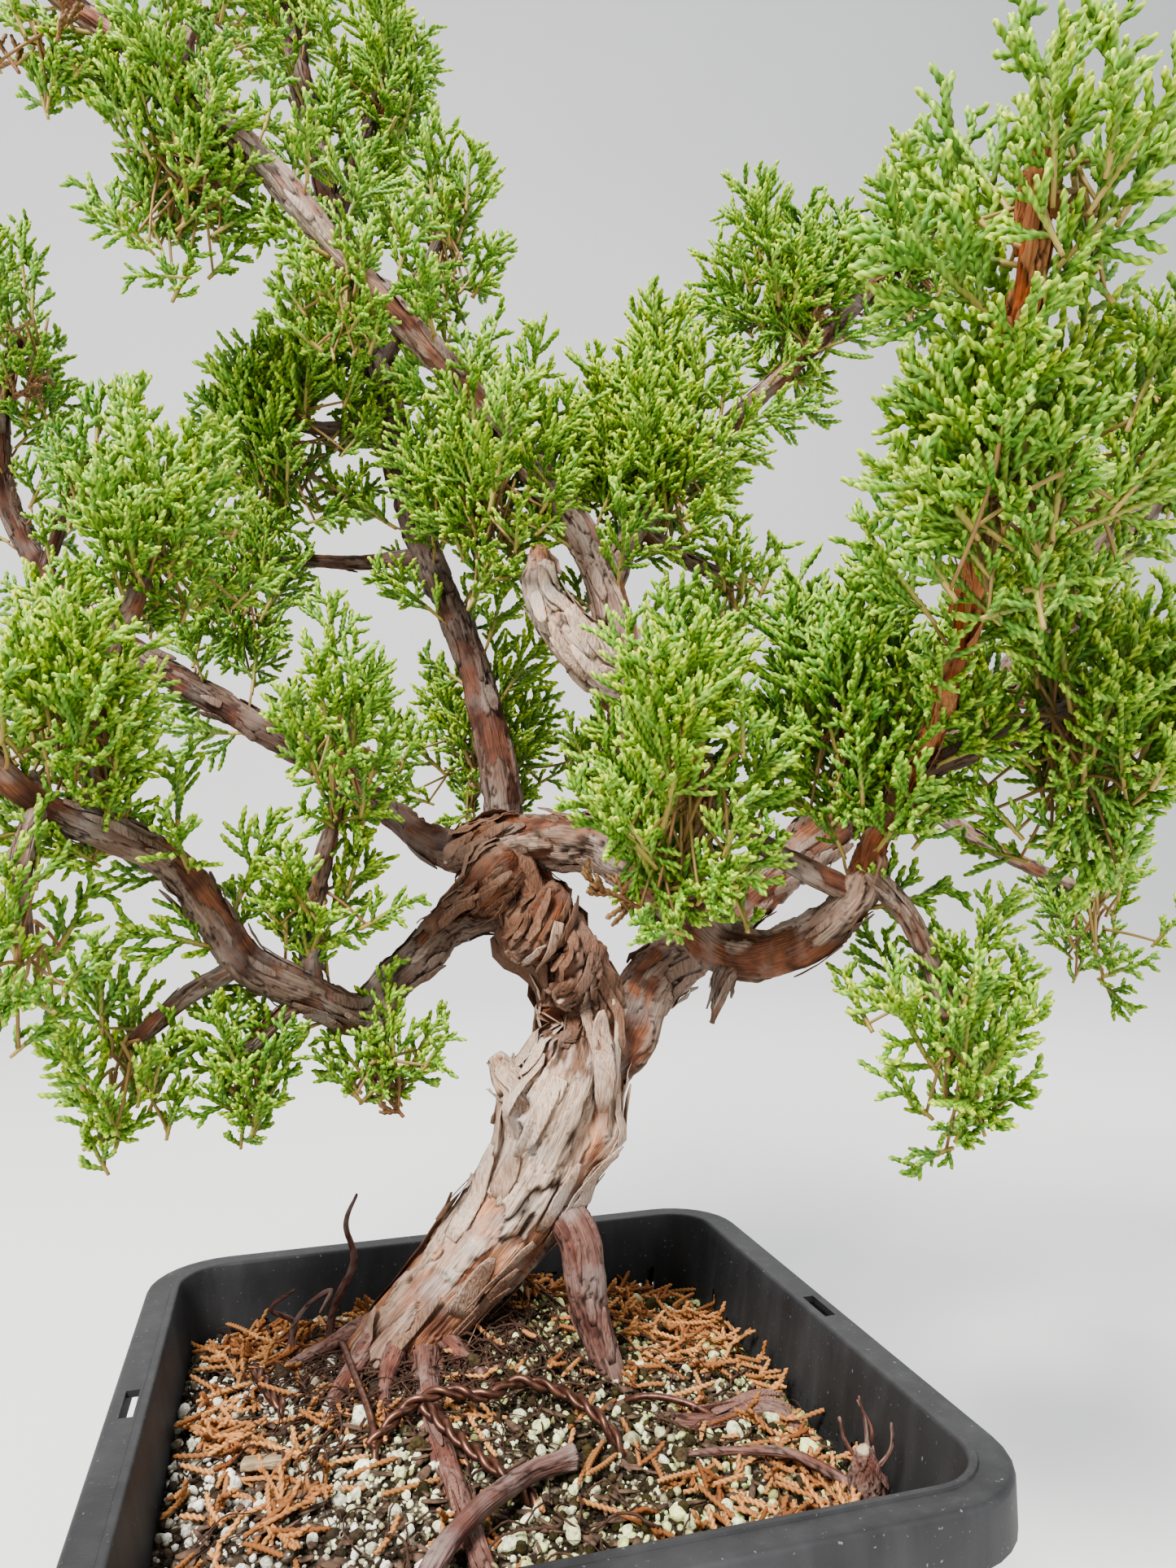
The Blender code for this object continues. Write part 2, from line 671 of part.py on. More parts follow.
def build_ground_wood(parts, cutters, trunk_room, bark, dry):
    """Roots and cut pieces on the soil. Returns the room that each of them needs."""
    rooms = []
    for name, run in {"prop_root": PROP_ROOT, **GROUND_WOOD}.items():
        material = dry if name == "cut_root_stick" else bark
        piece = add_object(name, ground_tube(name, run, ROOT_GIRTH, 0), parts, material)
        for room in [trunk_room] + rooms:
            if boxes_meet(piece, room):
                cut(piece, room)
        room_name = f"{name}_room"
        rooms.append(add_cutter(room_name, ground_tube(room_name, run, ROOT_GIRTH, CLEARANCE), cutters))
    return rooms


def build_wires(parts, cutters, blockers, material):
    rooms = []
    for name, (radius, route) in ANCHOR_WIRES.items():
        points = [ground_point(x, y, z) for x, y, z in route]
        wire = add_object(name, tube_mesh(name, points, [radius] * len(points), 0.004), parts, material)
        for room in blockers + rooms:
            if boxes_meet(wire, room):
                cut(wire, room)
        room_name = f"{name}_room"
        thick = [radius + CLEARANCE] * len(points)
        rooms.append(add_cutter(room_name, tube_mesh(room_name, points, thick, 0.004), cutters))
    return rooms


def build_chip(parts, material):
    bm = bmesh.new()
    bmesh.ops.create_cube(bm, size=1.0)
    bmesh.ops.scale(bm, vec=CHIP_SIZE, verts=bm.verts)
    chip = add_object("wood_chip", mesh_from_bmesh("wood_chip", bm), parts, material)
    x, y = soil_spot(CHIP_PLACE[0] / MM, CHIP_PLACE[1] / MM)
    half = CHIP_SIZE[2] / 2
    chip.location = (x, y, soil_height(x, y) + half + CLEARANCE)
    chip.rotation_euler.z = CHIP_TURN
    bevel = chip.modifiers.new("bevel", "BEVEL")
    bevel.width = 0.0004
    bevel.segments = 1
    return chip


# ---- Foliage ----


def pad_reach(radii, direction):
    """Distance from a pad's centre to its plain surface in a direction."""
    return 1 / math.sqrt(sum((part / radius) ** 2 for part, radius in zip(direction, radii)))


def pad_limits(name, pads):
    """Planes between a pad and its neighbours, as (direction, distance) from its centre."""
    centre, radii = pads[name]
    limits = []
    for other, (other_centre, other_radii) in pads.items():
        if other == name:
            continue
        away = other_centre - centre
        distance = away.length
        direction = away / distance
        own = pad_reach(radii, direction)
        share = own / (own + pad_reach(other_radii, direction))
        limits.append((direction, distance * share - PAD_GAP / 2))
    return limits


def pad_mesh(name, pads):
    """A lumpy closed mass that stays on its own side of every neighbour."""
    centre, radii = pads[name]
    limits = pad_limits(name, pads)
    bm = bmesh.new()
    bmesh.ops.create_icosphere(bm, subdivisions=2, radius=1.0)
    for vert in bm.verts:
        direction = vert.co.normalized()
        wander = 1 + PAD_ROUGHNESS * noise.noise(direction * 2.3 + centre * 40)
        reach = pad_reach(radii, direction) * wander
        for across, limit in limits:
            toward = direction.dot(across)
            if toward > 0:
                reach = min(reach, limit / toward)
        vert.co = centre + direction * reach
    return mesh_from_bmesh(name, bm)


def build_foliage(parts, rooms, material):
    pads = {}
    across, up = tree_stretch()
    for name, (place, half_sizes) in PADS.items():
        radii = tuple(size * MM * PAD_FULLNESS * grown for size, grown in zip(half_sizes, (across, across, up)))
        pads[name] = (tree_point(*place), radii)
    for name in pads:
        pad = add_object(name, pad_mesh(name, pads), parts, material)
        for room in rooms:
            if boxes_meet(pad, room):
                cut(pad, room)


def main():
    clear_scene()
    parts = make_collection("bonsai_juniper_in_pot")
    cutters = make_collection("cutters")
    finish = {name: make_material(name) for name in MATERIALS}

    build_pot(parts, cutters, finish["black_plastic"])
    soil = build_soil(parts, finish["soil_mix"])
    rooms = build_tree_wood(parts, cutters, finish["bark"])
    ground_rooms = build_ground_wood(parts, cutters, rooms[0], finish["root_bark"], finish["dry_wood"])
    blockers = [rooms[0]] + ground_rooms
    wire_rooms = build_wires(parts, cutters, blockers, finish["copper_wire"])
    for room in blockers + wire_rooms:
        if boxes_meet(soil, room):
            cut(soil, room)
    build_chip(parts, finish["dry_wood"])
    build_foliage(parts, rooms, finish["juniper_foliage"])


main()
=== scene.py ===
"""Finished look of a juniper bonsai in a square training basket.

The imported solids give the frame: the basket's size and the places of the
foliage pads and the wooden chip. This script builds the fine shapes round them
(bark, leafy shoots, pumice, roots and wires), dresses them and sets the studio.
"""

import logging
import math
from dataclasses import dataclass, field
from enum import Enum

import bpy
import numpy as np
from mathutils import Matrix, Vector

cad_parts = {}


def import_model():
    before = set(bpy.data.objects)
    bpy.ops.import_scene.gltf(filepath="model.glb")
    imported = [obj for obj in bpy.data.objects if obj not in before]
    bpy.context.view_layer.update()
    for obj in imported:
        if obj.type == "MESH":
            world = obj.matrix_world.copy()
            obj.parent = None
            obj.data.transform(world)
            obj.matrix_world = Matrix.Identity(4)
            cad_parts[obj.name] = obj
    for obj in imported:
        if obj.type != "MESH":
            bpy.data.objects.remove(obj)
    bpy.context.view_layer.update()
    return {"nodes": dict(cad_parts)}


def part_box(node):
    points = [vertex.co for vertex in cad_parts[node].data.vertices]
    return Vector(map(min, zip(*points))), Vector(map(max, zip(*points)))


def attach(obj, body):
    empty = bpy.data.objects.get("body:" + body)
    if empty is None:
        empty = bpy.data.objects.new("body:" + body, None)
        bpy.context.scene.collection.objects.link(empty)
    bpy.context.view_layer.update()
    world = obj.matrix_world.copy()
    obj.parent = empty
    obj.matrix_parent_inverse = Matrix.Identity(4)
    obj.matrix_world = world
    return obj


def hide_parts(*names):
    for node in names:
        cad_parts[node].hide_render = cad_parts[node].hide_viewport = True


LOG = logging.getLogger("bonsai")
MM = 0.001
BODY = "root"
# Radians: a whole turn, and the turn from one shoot to the next along a stem.
FULL_TURN = 6.28
SPIRAL_TURN = 2.4
GOLDEN_RATIO = (1 + 5**0.5) / 2
# The volume of an egg against the product of its three half-widths.
BALL_VOLUME = 4.19
Route = list[tuple[float, float, float, float]]
Array = np.ndarray
Material = bpy.types.Material
Piece = bpy.types.Object
Socket = bpy.types.NodeSocket
Rng = np.random.Generator
Place = tuple[float, float, float]
Colour = tuple[float, float, float]

# -------- wood routes
# Every run is (x, y, height above the rim, radius) in millimetres.

TRUNK_RUN: Route = [
    (-22, 30, -22, 10.5), (-20, 29, -9, 10.6), (-4, 27, 9, 11.8), (13, 25, 31, 13.0),
    (22, 24, 50, 14.0), (26, 24, 64, 11.5), (26, 25, 75, 9.5), (22, 26, 86, 9.5), (15, 28, 97, 10.0),
    (8, 31, 107, 10.0), (4, 33, 117, 8.5),
]
LIMB_RUNS: dict[str, list[Route]] = {
    "limb_left": [
        [
            (8, 29, 98, 5.5), (-8, 27, 94, 4.8), (-20, 21, 84, 4.4), (-31, 14, 76, 4.4),
            (-42, 8, 82, 4.2), (-56, 4, 90, 4.2), (-64, 2, 102, 4.0), (-72, -3, 113, 3.8),
            (-83, -9, 119, 3.5), (-95, -18, 125, 3.0), (-104, -24, 134, 2.4),
        ],
        [(-56, 4, 90, 2.4), (-68, 3, 84, 2.0), (-80, 0, 74, 1.6)],
        [(-42, 8, 82, 2.2), (-50, 5, 77, 1.8), (-57, 3, 70, 1.5)],
        [(-31, 14, 76, 2.2), (-28, 10, 72, 1.8), (-26, 8, 64, 1.5)],
        [(-42, 8, 82, 2.6), (-42, 9, 100, 2.2), (-37, 4, 124, 1.9), (-35, 2, 146, 1.5)],
        [(-83, -9, 119, 2.6), (-87, -9, 140, 2.3), (-79, -4, 170, 2.0), (-74, -1, 192, 1.5)],
        [(-95, -18, 125, 2.2), (-97, -22, 113, 1.8), (-96, -22, 98, 1.5)],
    ],
    "limb_right_front": [
        [
            (5, 30, 113, 6.5), (16, 20, 117, 6.8), (32, 5, 114, 7.0), (42, -11, 101, 6.8),
            (51, -23, 90, 6.2), (61, -35, 93, 5.2), (69, -45, 103, 3.9), (71, -51, 115, 3.0),
            (74, -61, 128, 2.5), (75, -71, 141, 2.2), (73, -83, 157, 2.0), (69, -93, 168, 1.9),
            (65, -104, 178, 1.8), (60, -118, 194, 1.7), (57, -128, 212, 1.4),
        ],
        [(51, -23, 90, 3.0), (47, -24, 84, 2.3), (45, -25, 79, 1.4), (43, -26, 75, 0.6)],
        [(69, -45, 103, 2.8), (52, -43, 112, 2.2), (33, -41, 127, 1.6)],
        [(71, -51, 115, 2.6), (67, -49, 135, 2.1), (64, -49, 156, 1.5)],
        [(74, -61, 128, 2.6), (90, -67, 134, 2.2), (105, -73, 142, 1.6)],
        [(70, -48, 108, 2.8), (78, -52, 97, 2.2), (84, -55, 78, 1.6)],
    ],
    "limb_right_back": [
        [
            (26, 24, 54, 8.0), (38, 26, 63, 8.0), (47, 32, 76, 7.5), (64, 39, 86, 7.2),
            (92, 44, 106, 7.0), (127, 39, 133, 6.5), (158, 27, 158, 6.2), (171, 16, 177, 6.0),
            (181, 5, 196, 5.5), (191, -7, 218, 4.5), (196, -12, 236, 3.0),
        ],
        [(127, 39, 133, 2.8), (149, 20, 113, 2.2), (166, 1, 99, 1.6)],
        [(158, 27, 158, 2.8), (176, 9, 152, 2.2), (190, -4, 148, 1.6)],
    ],
    "leader_back": [
        [
            (7, 34, 110, 6.0), (9, 38, 126, 5.0), (5, 43, 156, 4.6), (-1, 47, 177, 4.4),
            (-9, 51, 198, 4.2), (-16, 56, 222, 4.0), (-18, 59, 240, 3.8), (-24, 64, 266, 3.6),
            (-36, 73, 316, 3.3), (-43, 79, 352, 3.0), (-48, 85, 383, 2.6), (-50, 88, 400, 2.0),
        ],
        [(7, 41, 142, 2.4), (9, 53, 145, 2.0), (10, 66, 148, 1.6)],
        [(-9, 51, 198, 2.4), (-34, 62, 198, 1.9), (-60, 73, 202, 1.5)],
        [(-18, 59, 240, 2.4), (-35, 59, 236, 1.9), (-52, 60, 238, 1.5)],
        [(-21, 62, 254, 2.4), (-12, 54, 276, 1.9), (-4, 48, 294, 1.5)],
        [(-33, 71, 304, 2.4), (-26, 71, 328, 1.9), (-19, 71, 352, 1.5)],
    ],
    "leader_front": [
        [
            (34, 4, 112, 6.0), (40, 8, 127, 5.4), (40, 11, 145, 4.6), (37, 14, 166, 4.4),
            (31, 15, 188, 4.4), (20, 16, 206, 4.2), (4, 18, 224, 3.8), (-7, 18, 238, 3.6),
            (-20, 19, 252, 3.5), (-33, 19, 264, 3.4), (-53, 19, 287, 3.2), (-76, 20, 307, 2.9),
            (-97, 20, 320, 2.4), (-106, 20, 326, 1.8),
        ],
        [(40, 11, 145, 2.4), (41, 24, 142, 2.0), (39, 39, 141, 1.6)],
        [(-53, 19, 287, 2.2), (-65, 25, 284, 1.8), (-76, 27, 287, 1.5)],
        [(-76, 20, 307, 2.2), (-73, 32, 325, 1.8), (-69, 43, 343, 1.5)],
    ],
    "limb_centre": [
        [
            (33, 15, 180, 3.4), (40, 17, 196, 3.3), (54, 19, 213, 3.1), (73, 21, 233, 2.9),
            (98, 20, 257, 2.6), (124, 19, 283, 2.3), (144, 17, 298, 1.7),
        ],
        [(43, 18, 200, 2.2), (57, 21, 193, 1.8), (71, 23, 189, 1.5)],
        [(98, 20, 257, 2.0), (94, 22, 270, 1.8), (90, 24, 284, 1.5)],
    ],
    "limb_far_left": [
        [
            (3, 32, 112, 5.2), (-10, 40, 116, 4.6), (-24, 51, 128, 4.3), (-43, 62, 143, 4.1),
            (-73, 75, 162, 3.9), (-104, 86, 183, 3.7), (-116, 89, 197, 3.5), (-126, 91, 218, 3.0),
            (-128, 88, 242, 2.5), (-122, 80, 264, 1.8),
        ],
        [(-116, 89, 197, 2.2), (-109, 79, 212, 1.8), (-101, 69, 227, 1.5)],
    ],
}

# Roots and cut wood: (x, y, height above the soil, radius) in millimetres.
PROP_ROOT: Route = [
    (8, 26, 38, 4.6), (16, 23, 37, 5.0), (22, 15, 31, 4.6), (24, 12, 15, 4.0), (28, 9, 1, 3.0),
    (31, 7, -6, 2.4),
]
SURFACE_ROOTS: dict[str, Route] = {
    "surface_root_front": [
        (-17, 28, 8.0, 2.6), (-16, 20, 3.0, 3.6), (-17, 0, 0.6, 3.0), (-16, -18, 0.4, 2.8),
        (-14, -40, 0.2, 2.6), (-12, -56, -1.0, 2.3), (-11, -66, -5.0, 2.0),
    ],
    "surface_root_right": [
        (33, -8, -1.5, 1.6), (42, -15, 1.2, 1.6), (52, -14, 1.8, 1.5), (61, -15, 1.5, 1.4),
        (65, -24, -2.5, 1.2),
    ],
}
CUT_STICK: Route = [
    (9, -27, 3.8, 2.5), (5, -29, 4.4, 1.9), (-3, -33, 5.2, 2.0), (-18, -47, 6.6, 2.2), (-32, -62, -1.0, 2.2),
]
STUMP: Route = [(66, -47, -6, 4.0), (65, -48, 3, 3.4), (64, -50, 8, 2.4), (63, -51, 11, 1.3)]
WIRES: dict[str, list[Place]] = {
    "anchor_wire_left_leg": [(-36, 46, -5), (-35, 34, 4), (-33, 14, 5), (-30, -9, 4), (-31, -20, -5)],
    "anchor_wire_cross": [
        (-31, -12, 3), (-22, -6, 6), (-14, -6, 7.5), (-5, -7, 6), (3, -3, 6), (12, -7, 5.5),
        (19, -17, 4), (25, -27, -5),
    ],
    "anchor_wire_tail": [(-19, -7, 6), (-13, -18, 5), (-7, -27, 4), (-2, -32, 2), (2, -38, -6)],
    "anchor_wire_right_leg": [(24, 0, -5), (29, -5, 2), (36, -9, 4), (44, -15, 3), (52, -17, -5)],
    "anchor_wire_left_end": [(-55, 30, 4), (-52, 20, 3), (-49, 12, 2), (-47, 4, -5)],
}


class Strand(Enum):
    """How an anchoring wire was laid."""

    SINGLE = 1
    TWISTED = 2


# -------- mesh helpers


@dataclass
class MeshData:
    """Points and faces with named marks, one number for each point."""

    points: Array
    quads: Array
    tris: Array
    marks: dict[str, Array] = field(default_factory=dict)

    @staticmethod
    def join(parts: list["MeshData"]) -> "MeshData":
        """Puts several meshes into one.

        Args:
            parts: meshes with the same marks.

        Returns:
            One mesh that holds them all.
        """
        starts = np.cumsum([0] + [len(part.points) for part in parts])
        return MeshData(
            np.concatenate([part.points for part in parts]),
            np.concatenate([part.quads + start for part, start in zip(parts, starts)]),
            np.concatenate([part.tris + start for part, start in zip(parts, starts)]),
            {name: np.concatenate([part.marks[name] for part in parts]) for name in parts[0].marks},
        )

    def mark_evenly(self, **values: float) -> None:
        """Gives every point the same value of each mark."""
        for name, value in values.items():
            self.marks[name] = np.full(len(self.points), value)

    def to_object(self, name: str, material: Material) -> Piece:
        """Makes a smooth-shaded object that rides on the part's body.

        Args:
            name: the piece's name.
            material: its finish.

        Returns:
            The new object.
        """
        mesh = bpy.data.meshes.new(name)
        mesh.vertices.add(len(self.points))
        mesh.vertices.foreach_set("co", self.points.astype(np.float32).ravel())
        corners = np.concatenate([self.quads.ravel(), self.tris.ravel()]).astype(np.int32)
        quad_starts = np.arange(len(self.quads)) * 4
        tri_starts = len(self.quads) * 4 + np.arange(len(self.tris)) * 3
        mesh.loops.add(len(corners))
        mesh.loops.foreach_set("vertex_index", corners)
        mesh.polygons.add(len(self.quads) + len(self.tris))
        mesh.polygons.foreach_set("loop_start", np.concatenate([quad_starts, tri_starts]).astype(np.int32))
        mesh.update(calc_edges=True)
        for mark, values in self.marks.items():
            kind = "FLOAT_VECTOR" if values.ndim == 2 else "FLOAT"
            layer = mesh.attributes.new(mark, kind, "POINT")
            held = "vector" if values.ndim == 2 else "value"
            layer.data.foreach_set(held, values.astype(np.float32).ravel())
        mesh.shade_smooth()
        mesh.materials.append(material)
        piece = linked_object(name, mesh)
        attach(piece, BODY)
        return piece


def linked_object(name: str, data: bpy.types.ID) -> Piece:
    """A new object in the scene that shows the given data."""
    made = bpy.data.objects.new(name, data)
    bpy.context.scene.collection.objects.link(made)
    return made


class Noise:
    """Repeatable random fields over arrays of points."""

    @staticmethod
    def of_cells(cells: Array, seed: int) -> Array:
        """A number from 0 to 1 for each whole-numbered cell."""
        mixed = cells[..., 0] * 374761393 + cells[..., 1] * 668265263 + cells[..., 2] * 1442695041
        mixed = (mixed + seed * 1274126177) & 0xFFFFFFFF
        mixed = ((mixed ^ (mixed >> 13)) * 1274126177) & 0xFFFFFFFF
        mixed = ((mixed ^ (mixed >> 15)) * 2246822519) & 0xFFFFFFFF
        return (mixed ^ (mixed >> 16)) / 4294967295

    @staticmethod
    def smooth(points: Array, seed: int) -> Array:
        """A smooth field from -1 to 1 with features about one unit wide."""
        low = np.floor(points).astype(np.int64)
        part = points - low
        part = part * part * (3 - 2 * part)
        total = np.zeros(points.shape[:-1])
        for corner in range(8):
            step = np.array([corner & 1, corner >> 1 & 1, corner >> 2 & 1])
            weight = np.prod(np.where(step, part, 1 - part), axis=-1)
            total += weight * Noise.of_cells(low + step, seed)
        return total * 2 - 1

    @staticmethod
    def rough(points: Array, seed: int, octaves: int = 3) -> Array:
        """A field from about -1 to 1 with finer and finer detail."""
        total = np.zeros(points.shape[:-1])
        size = 1.0
        for octave in range(octaves):
            total += size * Noise.smooth(points * 2**octave, seed + octave * 17)
            size *= 0.5
        return total / 1.6

    @staticmethod
    def plates(points: Array, seed: int) -> tuple[Array, Array, Array]:
        """Splits space into irregular cells one unit wide.

        Args:
            points: places to look up.
            seed: which pattern.

        Returns:
            How far each point is from its cell's edge, the cell's own random
            number, and how far along its cell the point lies on the last axis.
        """
        low = np.floor(points).astype(np.int64)
        first = np.full(points.shape[:-1], 9.0)
        second = np.full(points.shape[:-1], 9.0)
        tone = np.zeros(points.shape[:-1])
        along = np.zeros(points.shape[:-1])
        for index in range(27):
            cell = low + np.array([index % 3 - 1, index // 3 % 3 - 1, index // 9 - 1])
            centre = np.stack([Noise.of_cells(cell, seed + axis) for axis in (1, 2, 3)], axis=-1) + cell
            gap = points - centre
            distance = np.sqrt((gap**2).sum(-1))
            nearer = distance < first
            second = np.where(nearer, first, np.minimum(second, distance))
            along = np.where(nearer, gap[..., 2], along)
            tone = np.where(nearer, Noise.of_cells(cell, seed + 7), tone)
            first = np.where(nearer, distance, first)
        return second - first, tone, along


def packed_space(node: str) -> tuple[Array, Array]:
    """The middle and the half-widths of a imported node's box."""
    low, high = (np.array(corner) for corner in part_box(node))
    return (low + high) / 2, (high - low) / 2


def smooth_step(low: float, high: float, values: Array) -> Array:
    """Eases from 0 at low to 1 at high."""
    share = np.clip((values - low) / (high - low), 0, 1)
    return share * share * (3 - 2 * share)


def way_at(turn: float, rise: float = 0.0) -> Array:
    """The way at this angle round the Z axis, with a rise."""
    return np.array([math.cos(turn), math.sin(turn), rise])


def unit(vectors: Array) -> Array:
    """The vectors at length one."""
    return vectors / np.maximum(np.linalg.norm(vectors, axis=-1, keepdims=True), 1e-12)


def smooth_route(knots: Array, step: float) -> Array:
    """Evenly spaced rows along a smooth curve through the knots.

    Args:
        knots: rows of x, y, z and any further columns, such as a radius.
        step: the distance between rows.

    Returns:
        Rows with the same columns.
    """
    padded = np.vstack([2 * knots[0] - knots[1], knots, 2 * knots[-1] - knots[-2]])
    share = np.linspace(0, 1, 24, endpoint=False)[:, None]
    fine = []
    for before, start, end, after in zip(padded, padded[1:], padded[2:], padded[3:]):
        curve = 2 * start + (end - before) * share
        curve = curve + (2 * before - 5 * start + 4 * end - after) * share**2
        curve = curve + (3 * start - before - 3 * end + after) * share**3
        fine.append(curve / 2)
    fine = np.vstack(fine + [knots[-1:]])
    run = run_lengths(fine[:, :3])
    wanted = np.linspace(0, run[-1], max(3, int(run[-1] / step) + 1))
    return np.stack([np.interp(wanted, run, column) for column in fine.T], axis=1)


def run_lengths(places: Array) -> Array:
    """How far along a route each of its places lies."""
    return np.concatenate([[0], np.cumsum(np.linalg.norm(np.diff(places, axis=0), axis=1))])


def even_angles(count: int) -> Array:
    """Angles evenly spaced round a circle."""
    return np.arange(count) / count * 2 * math.pi


def carried_frames(centres: Array) -> tuple[Array, Array]:
    """Two directions across a route at each row, carried along without twist."""
    tangents = unit(np.gradient(centres, axis=0))
    side = np.cross(tangents[0], [0.31, 0.17, 0.93])
    if np.linalg.norm(side) < 0.1:
        side = np.cross(tangents[0], [1.0, 0.0, 0.0])
    sides = np.empty_like(centres)
    for index, tangent in enumerate(tangents):
        side = side - tangent * side.dot(tangent)
        side /= np.linalg.norm(side)
        sides[index] = side
    return sides, np.cross(tangents, sides)


def ring_ways(centres: Array, angles: Array) -> Array:
    """At each row of a route, the ways outward at the given angles."""
    across, up = carried_frames(centres)
    return np.cos(angles)[None, :, None] * across[:, None] + np.sin(angles)[None, :, None] * up[:, None]


def tube_faces(rings: int, sides: int) -> tuple[Array, Array]:
    """Faces of a tube with a pointed fan at each end.

    Args:
        rings: how many rings, each of sides points, followed by two end points.
        sides: points in a ring.

    Returns:
        The quads and the triangles.
    """
    ring = np.arange(rings - 1)[:, None] * sides
    side = np.arange(sides)[None, :]
    following = (side + 1) % sides
    quads = np.stack([ring + side, ring + following, ring + sides + following, ring + sides + side], axis=-1)
    start, end = rings * sides, rings * sides + 1
    around, after = np.arange(sides), (np.arange(sides) + 1) % sides
    last = (rings - 1) * sides
    low = np.stack([after, around, np.full(sides, start)], axis=-1)
    high = np.stack([last + around, last + after, np.full(sides, end)], axis=-1)
    return quads.reshape(-1, 4), np.concatenate([low, high])


def tube(centres: Array, reach: Array) -> MeshData:
    """A closed tube.

    Args:
        centres: the middle of each ring.
        reach: for each ring, how far each of its points lies from the middle.

    Returns:
        The mesh, with no marks.
    """
    rings, sides = reach.shape
    points = centres[:, None] + ring_ways(centres, even_angles(sides)) * reach[..., None]
    tips = centres[[0, -1]]
    quads, tris = tube_faces(rings, sides)
    return MeshData(np.concatenate([points.reshape(-1, 3), tips]), quads, tris)


def with_tips(values: Array) -> Array:
    """A tube's mark for each ring point, lengthened for its two end points."""
    flat = values.reshape(-1, *values.shape[2:])
    return np.concatenate([flat, values[0, :1], values[-1, :1]])


# -------- finishes


# A mix node's colour sockets: its factor and two inputs, and its result.
MIX_INPUTS = (0, 6, 7)
MIX_OUTPUT = 2
BLACK: Colour = (0.0, 0.0, 0.0)
WHITE: Colour = (1.0, 1.0, 1.0)


class Finish:
    """A material under construction."""

    def __init__(self, name: str, roughness: float, metallic: float = 0.0, specular: float = 0.5) -> None:
        """Starts a material with one Principled shader."""
        self.material = bpy.data.materials.new(name)
        self.material.use_nodes = True
        self.tree = self.material.node_tree
        self.shader = self.tree.nodes["Principled BSDF"]
        self.shader.inputs["Roughness"].default_value = roughness
        self.shader.inputs["Metallic"].default_value = metallic
        self.shader.inputs["Specular IOR Level"].default_value = specular

    def node(self, kind: str, **values: object) -> bpy.types.Node:
        """Adds a node and sets its inputs or properties by name.

        Args:
            kind: the node's type.
            values: input names with underscores for spaces, or property names.

        Returns:
            The node.
        """
        made = self.tree.nodes.new(kind)
        for name, value in values.items():
            socket = made.inputs.get(name.replace("_", " "))
            if socket is None:
                setattr(made, name, value)
            else:
                self.feed(socket, value)
        return made

    def feed(self, socket: Socket, value: object) -> None:
        """Links a socket to another one, or sets its number or colour."""
        if isinstance(value, Socket):
            self.tree.links.new(value, socket)
        elif isinstance(value, tuple):
            socket.default_value = (*value, 1.0)
        else:
            socket.default_value = value

    def mark(self, name: str, output: str = "Fac") -> Socket:
        """The value of a mesh mark."""
        return self.node("ShaderNodeAttribute", attribute_name=name).outputs[output]

    def ramp(self, factor: Socket, *stops: tuple[float, Colour]) -> Socket:
        """A colour that changes with a factor through the given stops."""
        made = self.node("ShaderNodeValToRGB", Fac=factor)
        elements = made.color_ramp.elements
        while len(elements) < len(stops):
            elements.new(0.5)
        for element, (position, colour) in zip(elements, stops):
            element.position = position
            element.color = (*colour, 1.0)
        return made.outputs["Color"]

    def mix(self, factor: object, first: object, second: object, how: str = "MIX") -> Socket:
        """Blends two colours."""
        made = self.node("ShaderNodeMix", data_type="RGBA", blend_type=how)
        for index, value in zip(MIX_INPUTS, (factor, first, second)):
            self.feed(made.inputs[index], value)
        return made.outputs[MIX_OUTPUT]

    def maths(self, how: str, first: object, second: object = 0.0) -> Socket:
        """One sum of two numbers."""
        made = self.node("ShaderNodeMath", operation=how)
        for socket, value in zip(made.inputs, (first, second)):
            self.feed(socket, value)
        return made.outputs[0]

    def speckle(self, scale: float, detail: float = 4.0, grain: Socket | None = None) -> Socket:
        """Noise in the object's own space, or along a grain mark."""
        place = grain or self.node("ShaderNodeTexCoord").outputs["Object"]
        return self.node("ShaderNodeTexNoise", Vector=place, Scale=scale, Detail=detail).outputs["Fac"]

    def ranged(self, value: Socket, low: float, high: float) -> Socket:
        """A value from 0 to 1 spread between two ends."""
        return self.node("ShaderNodeMapRange", Value=value, To_Min=low, To_Max=high).outputs["Result"]

    def set(self, name: str, value: Socket) -> None:
        """Drives one of the shader's inputs."""
        self.tree.links.new(value, self.shader.inputs[name])

    def done(self, colour: Socket, height: Socket, distance: float, strength: float = 1.0) -> Material:
        """Sets the colour and the relief, and hands the material over."""
        self.set("Base Color", colour)
        made = self.node("ShaderNodeBump", Height=height, Distance=distance, Strength=strength)
        self.set("Normal", made.outputs["Normal"])
        return self.material


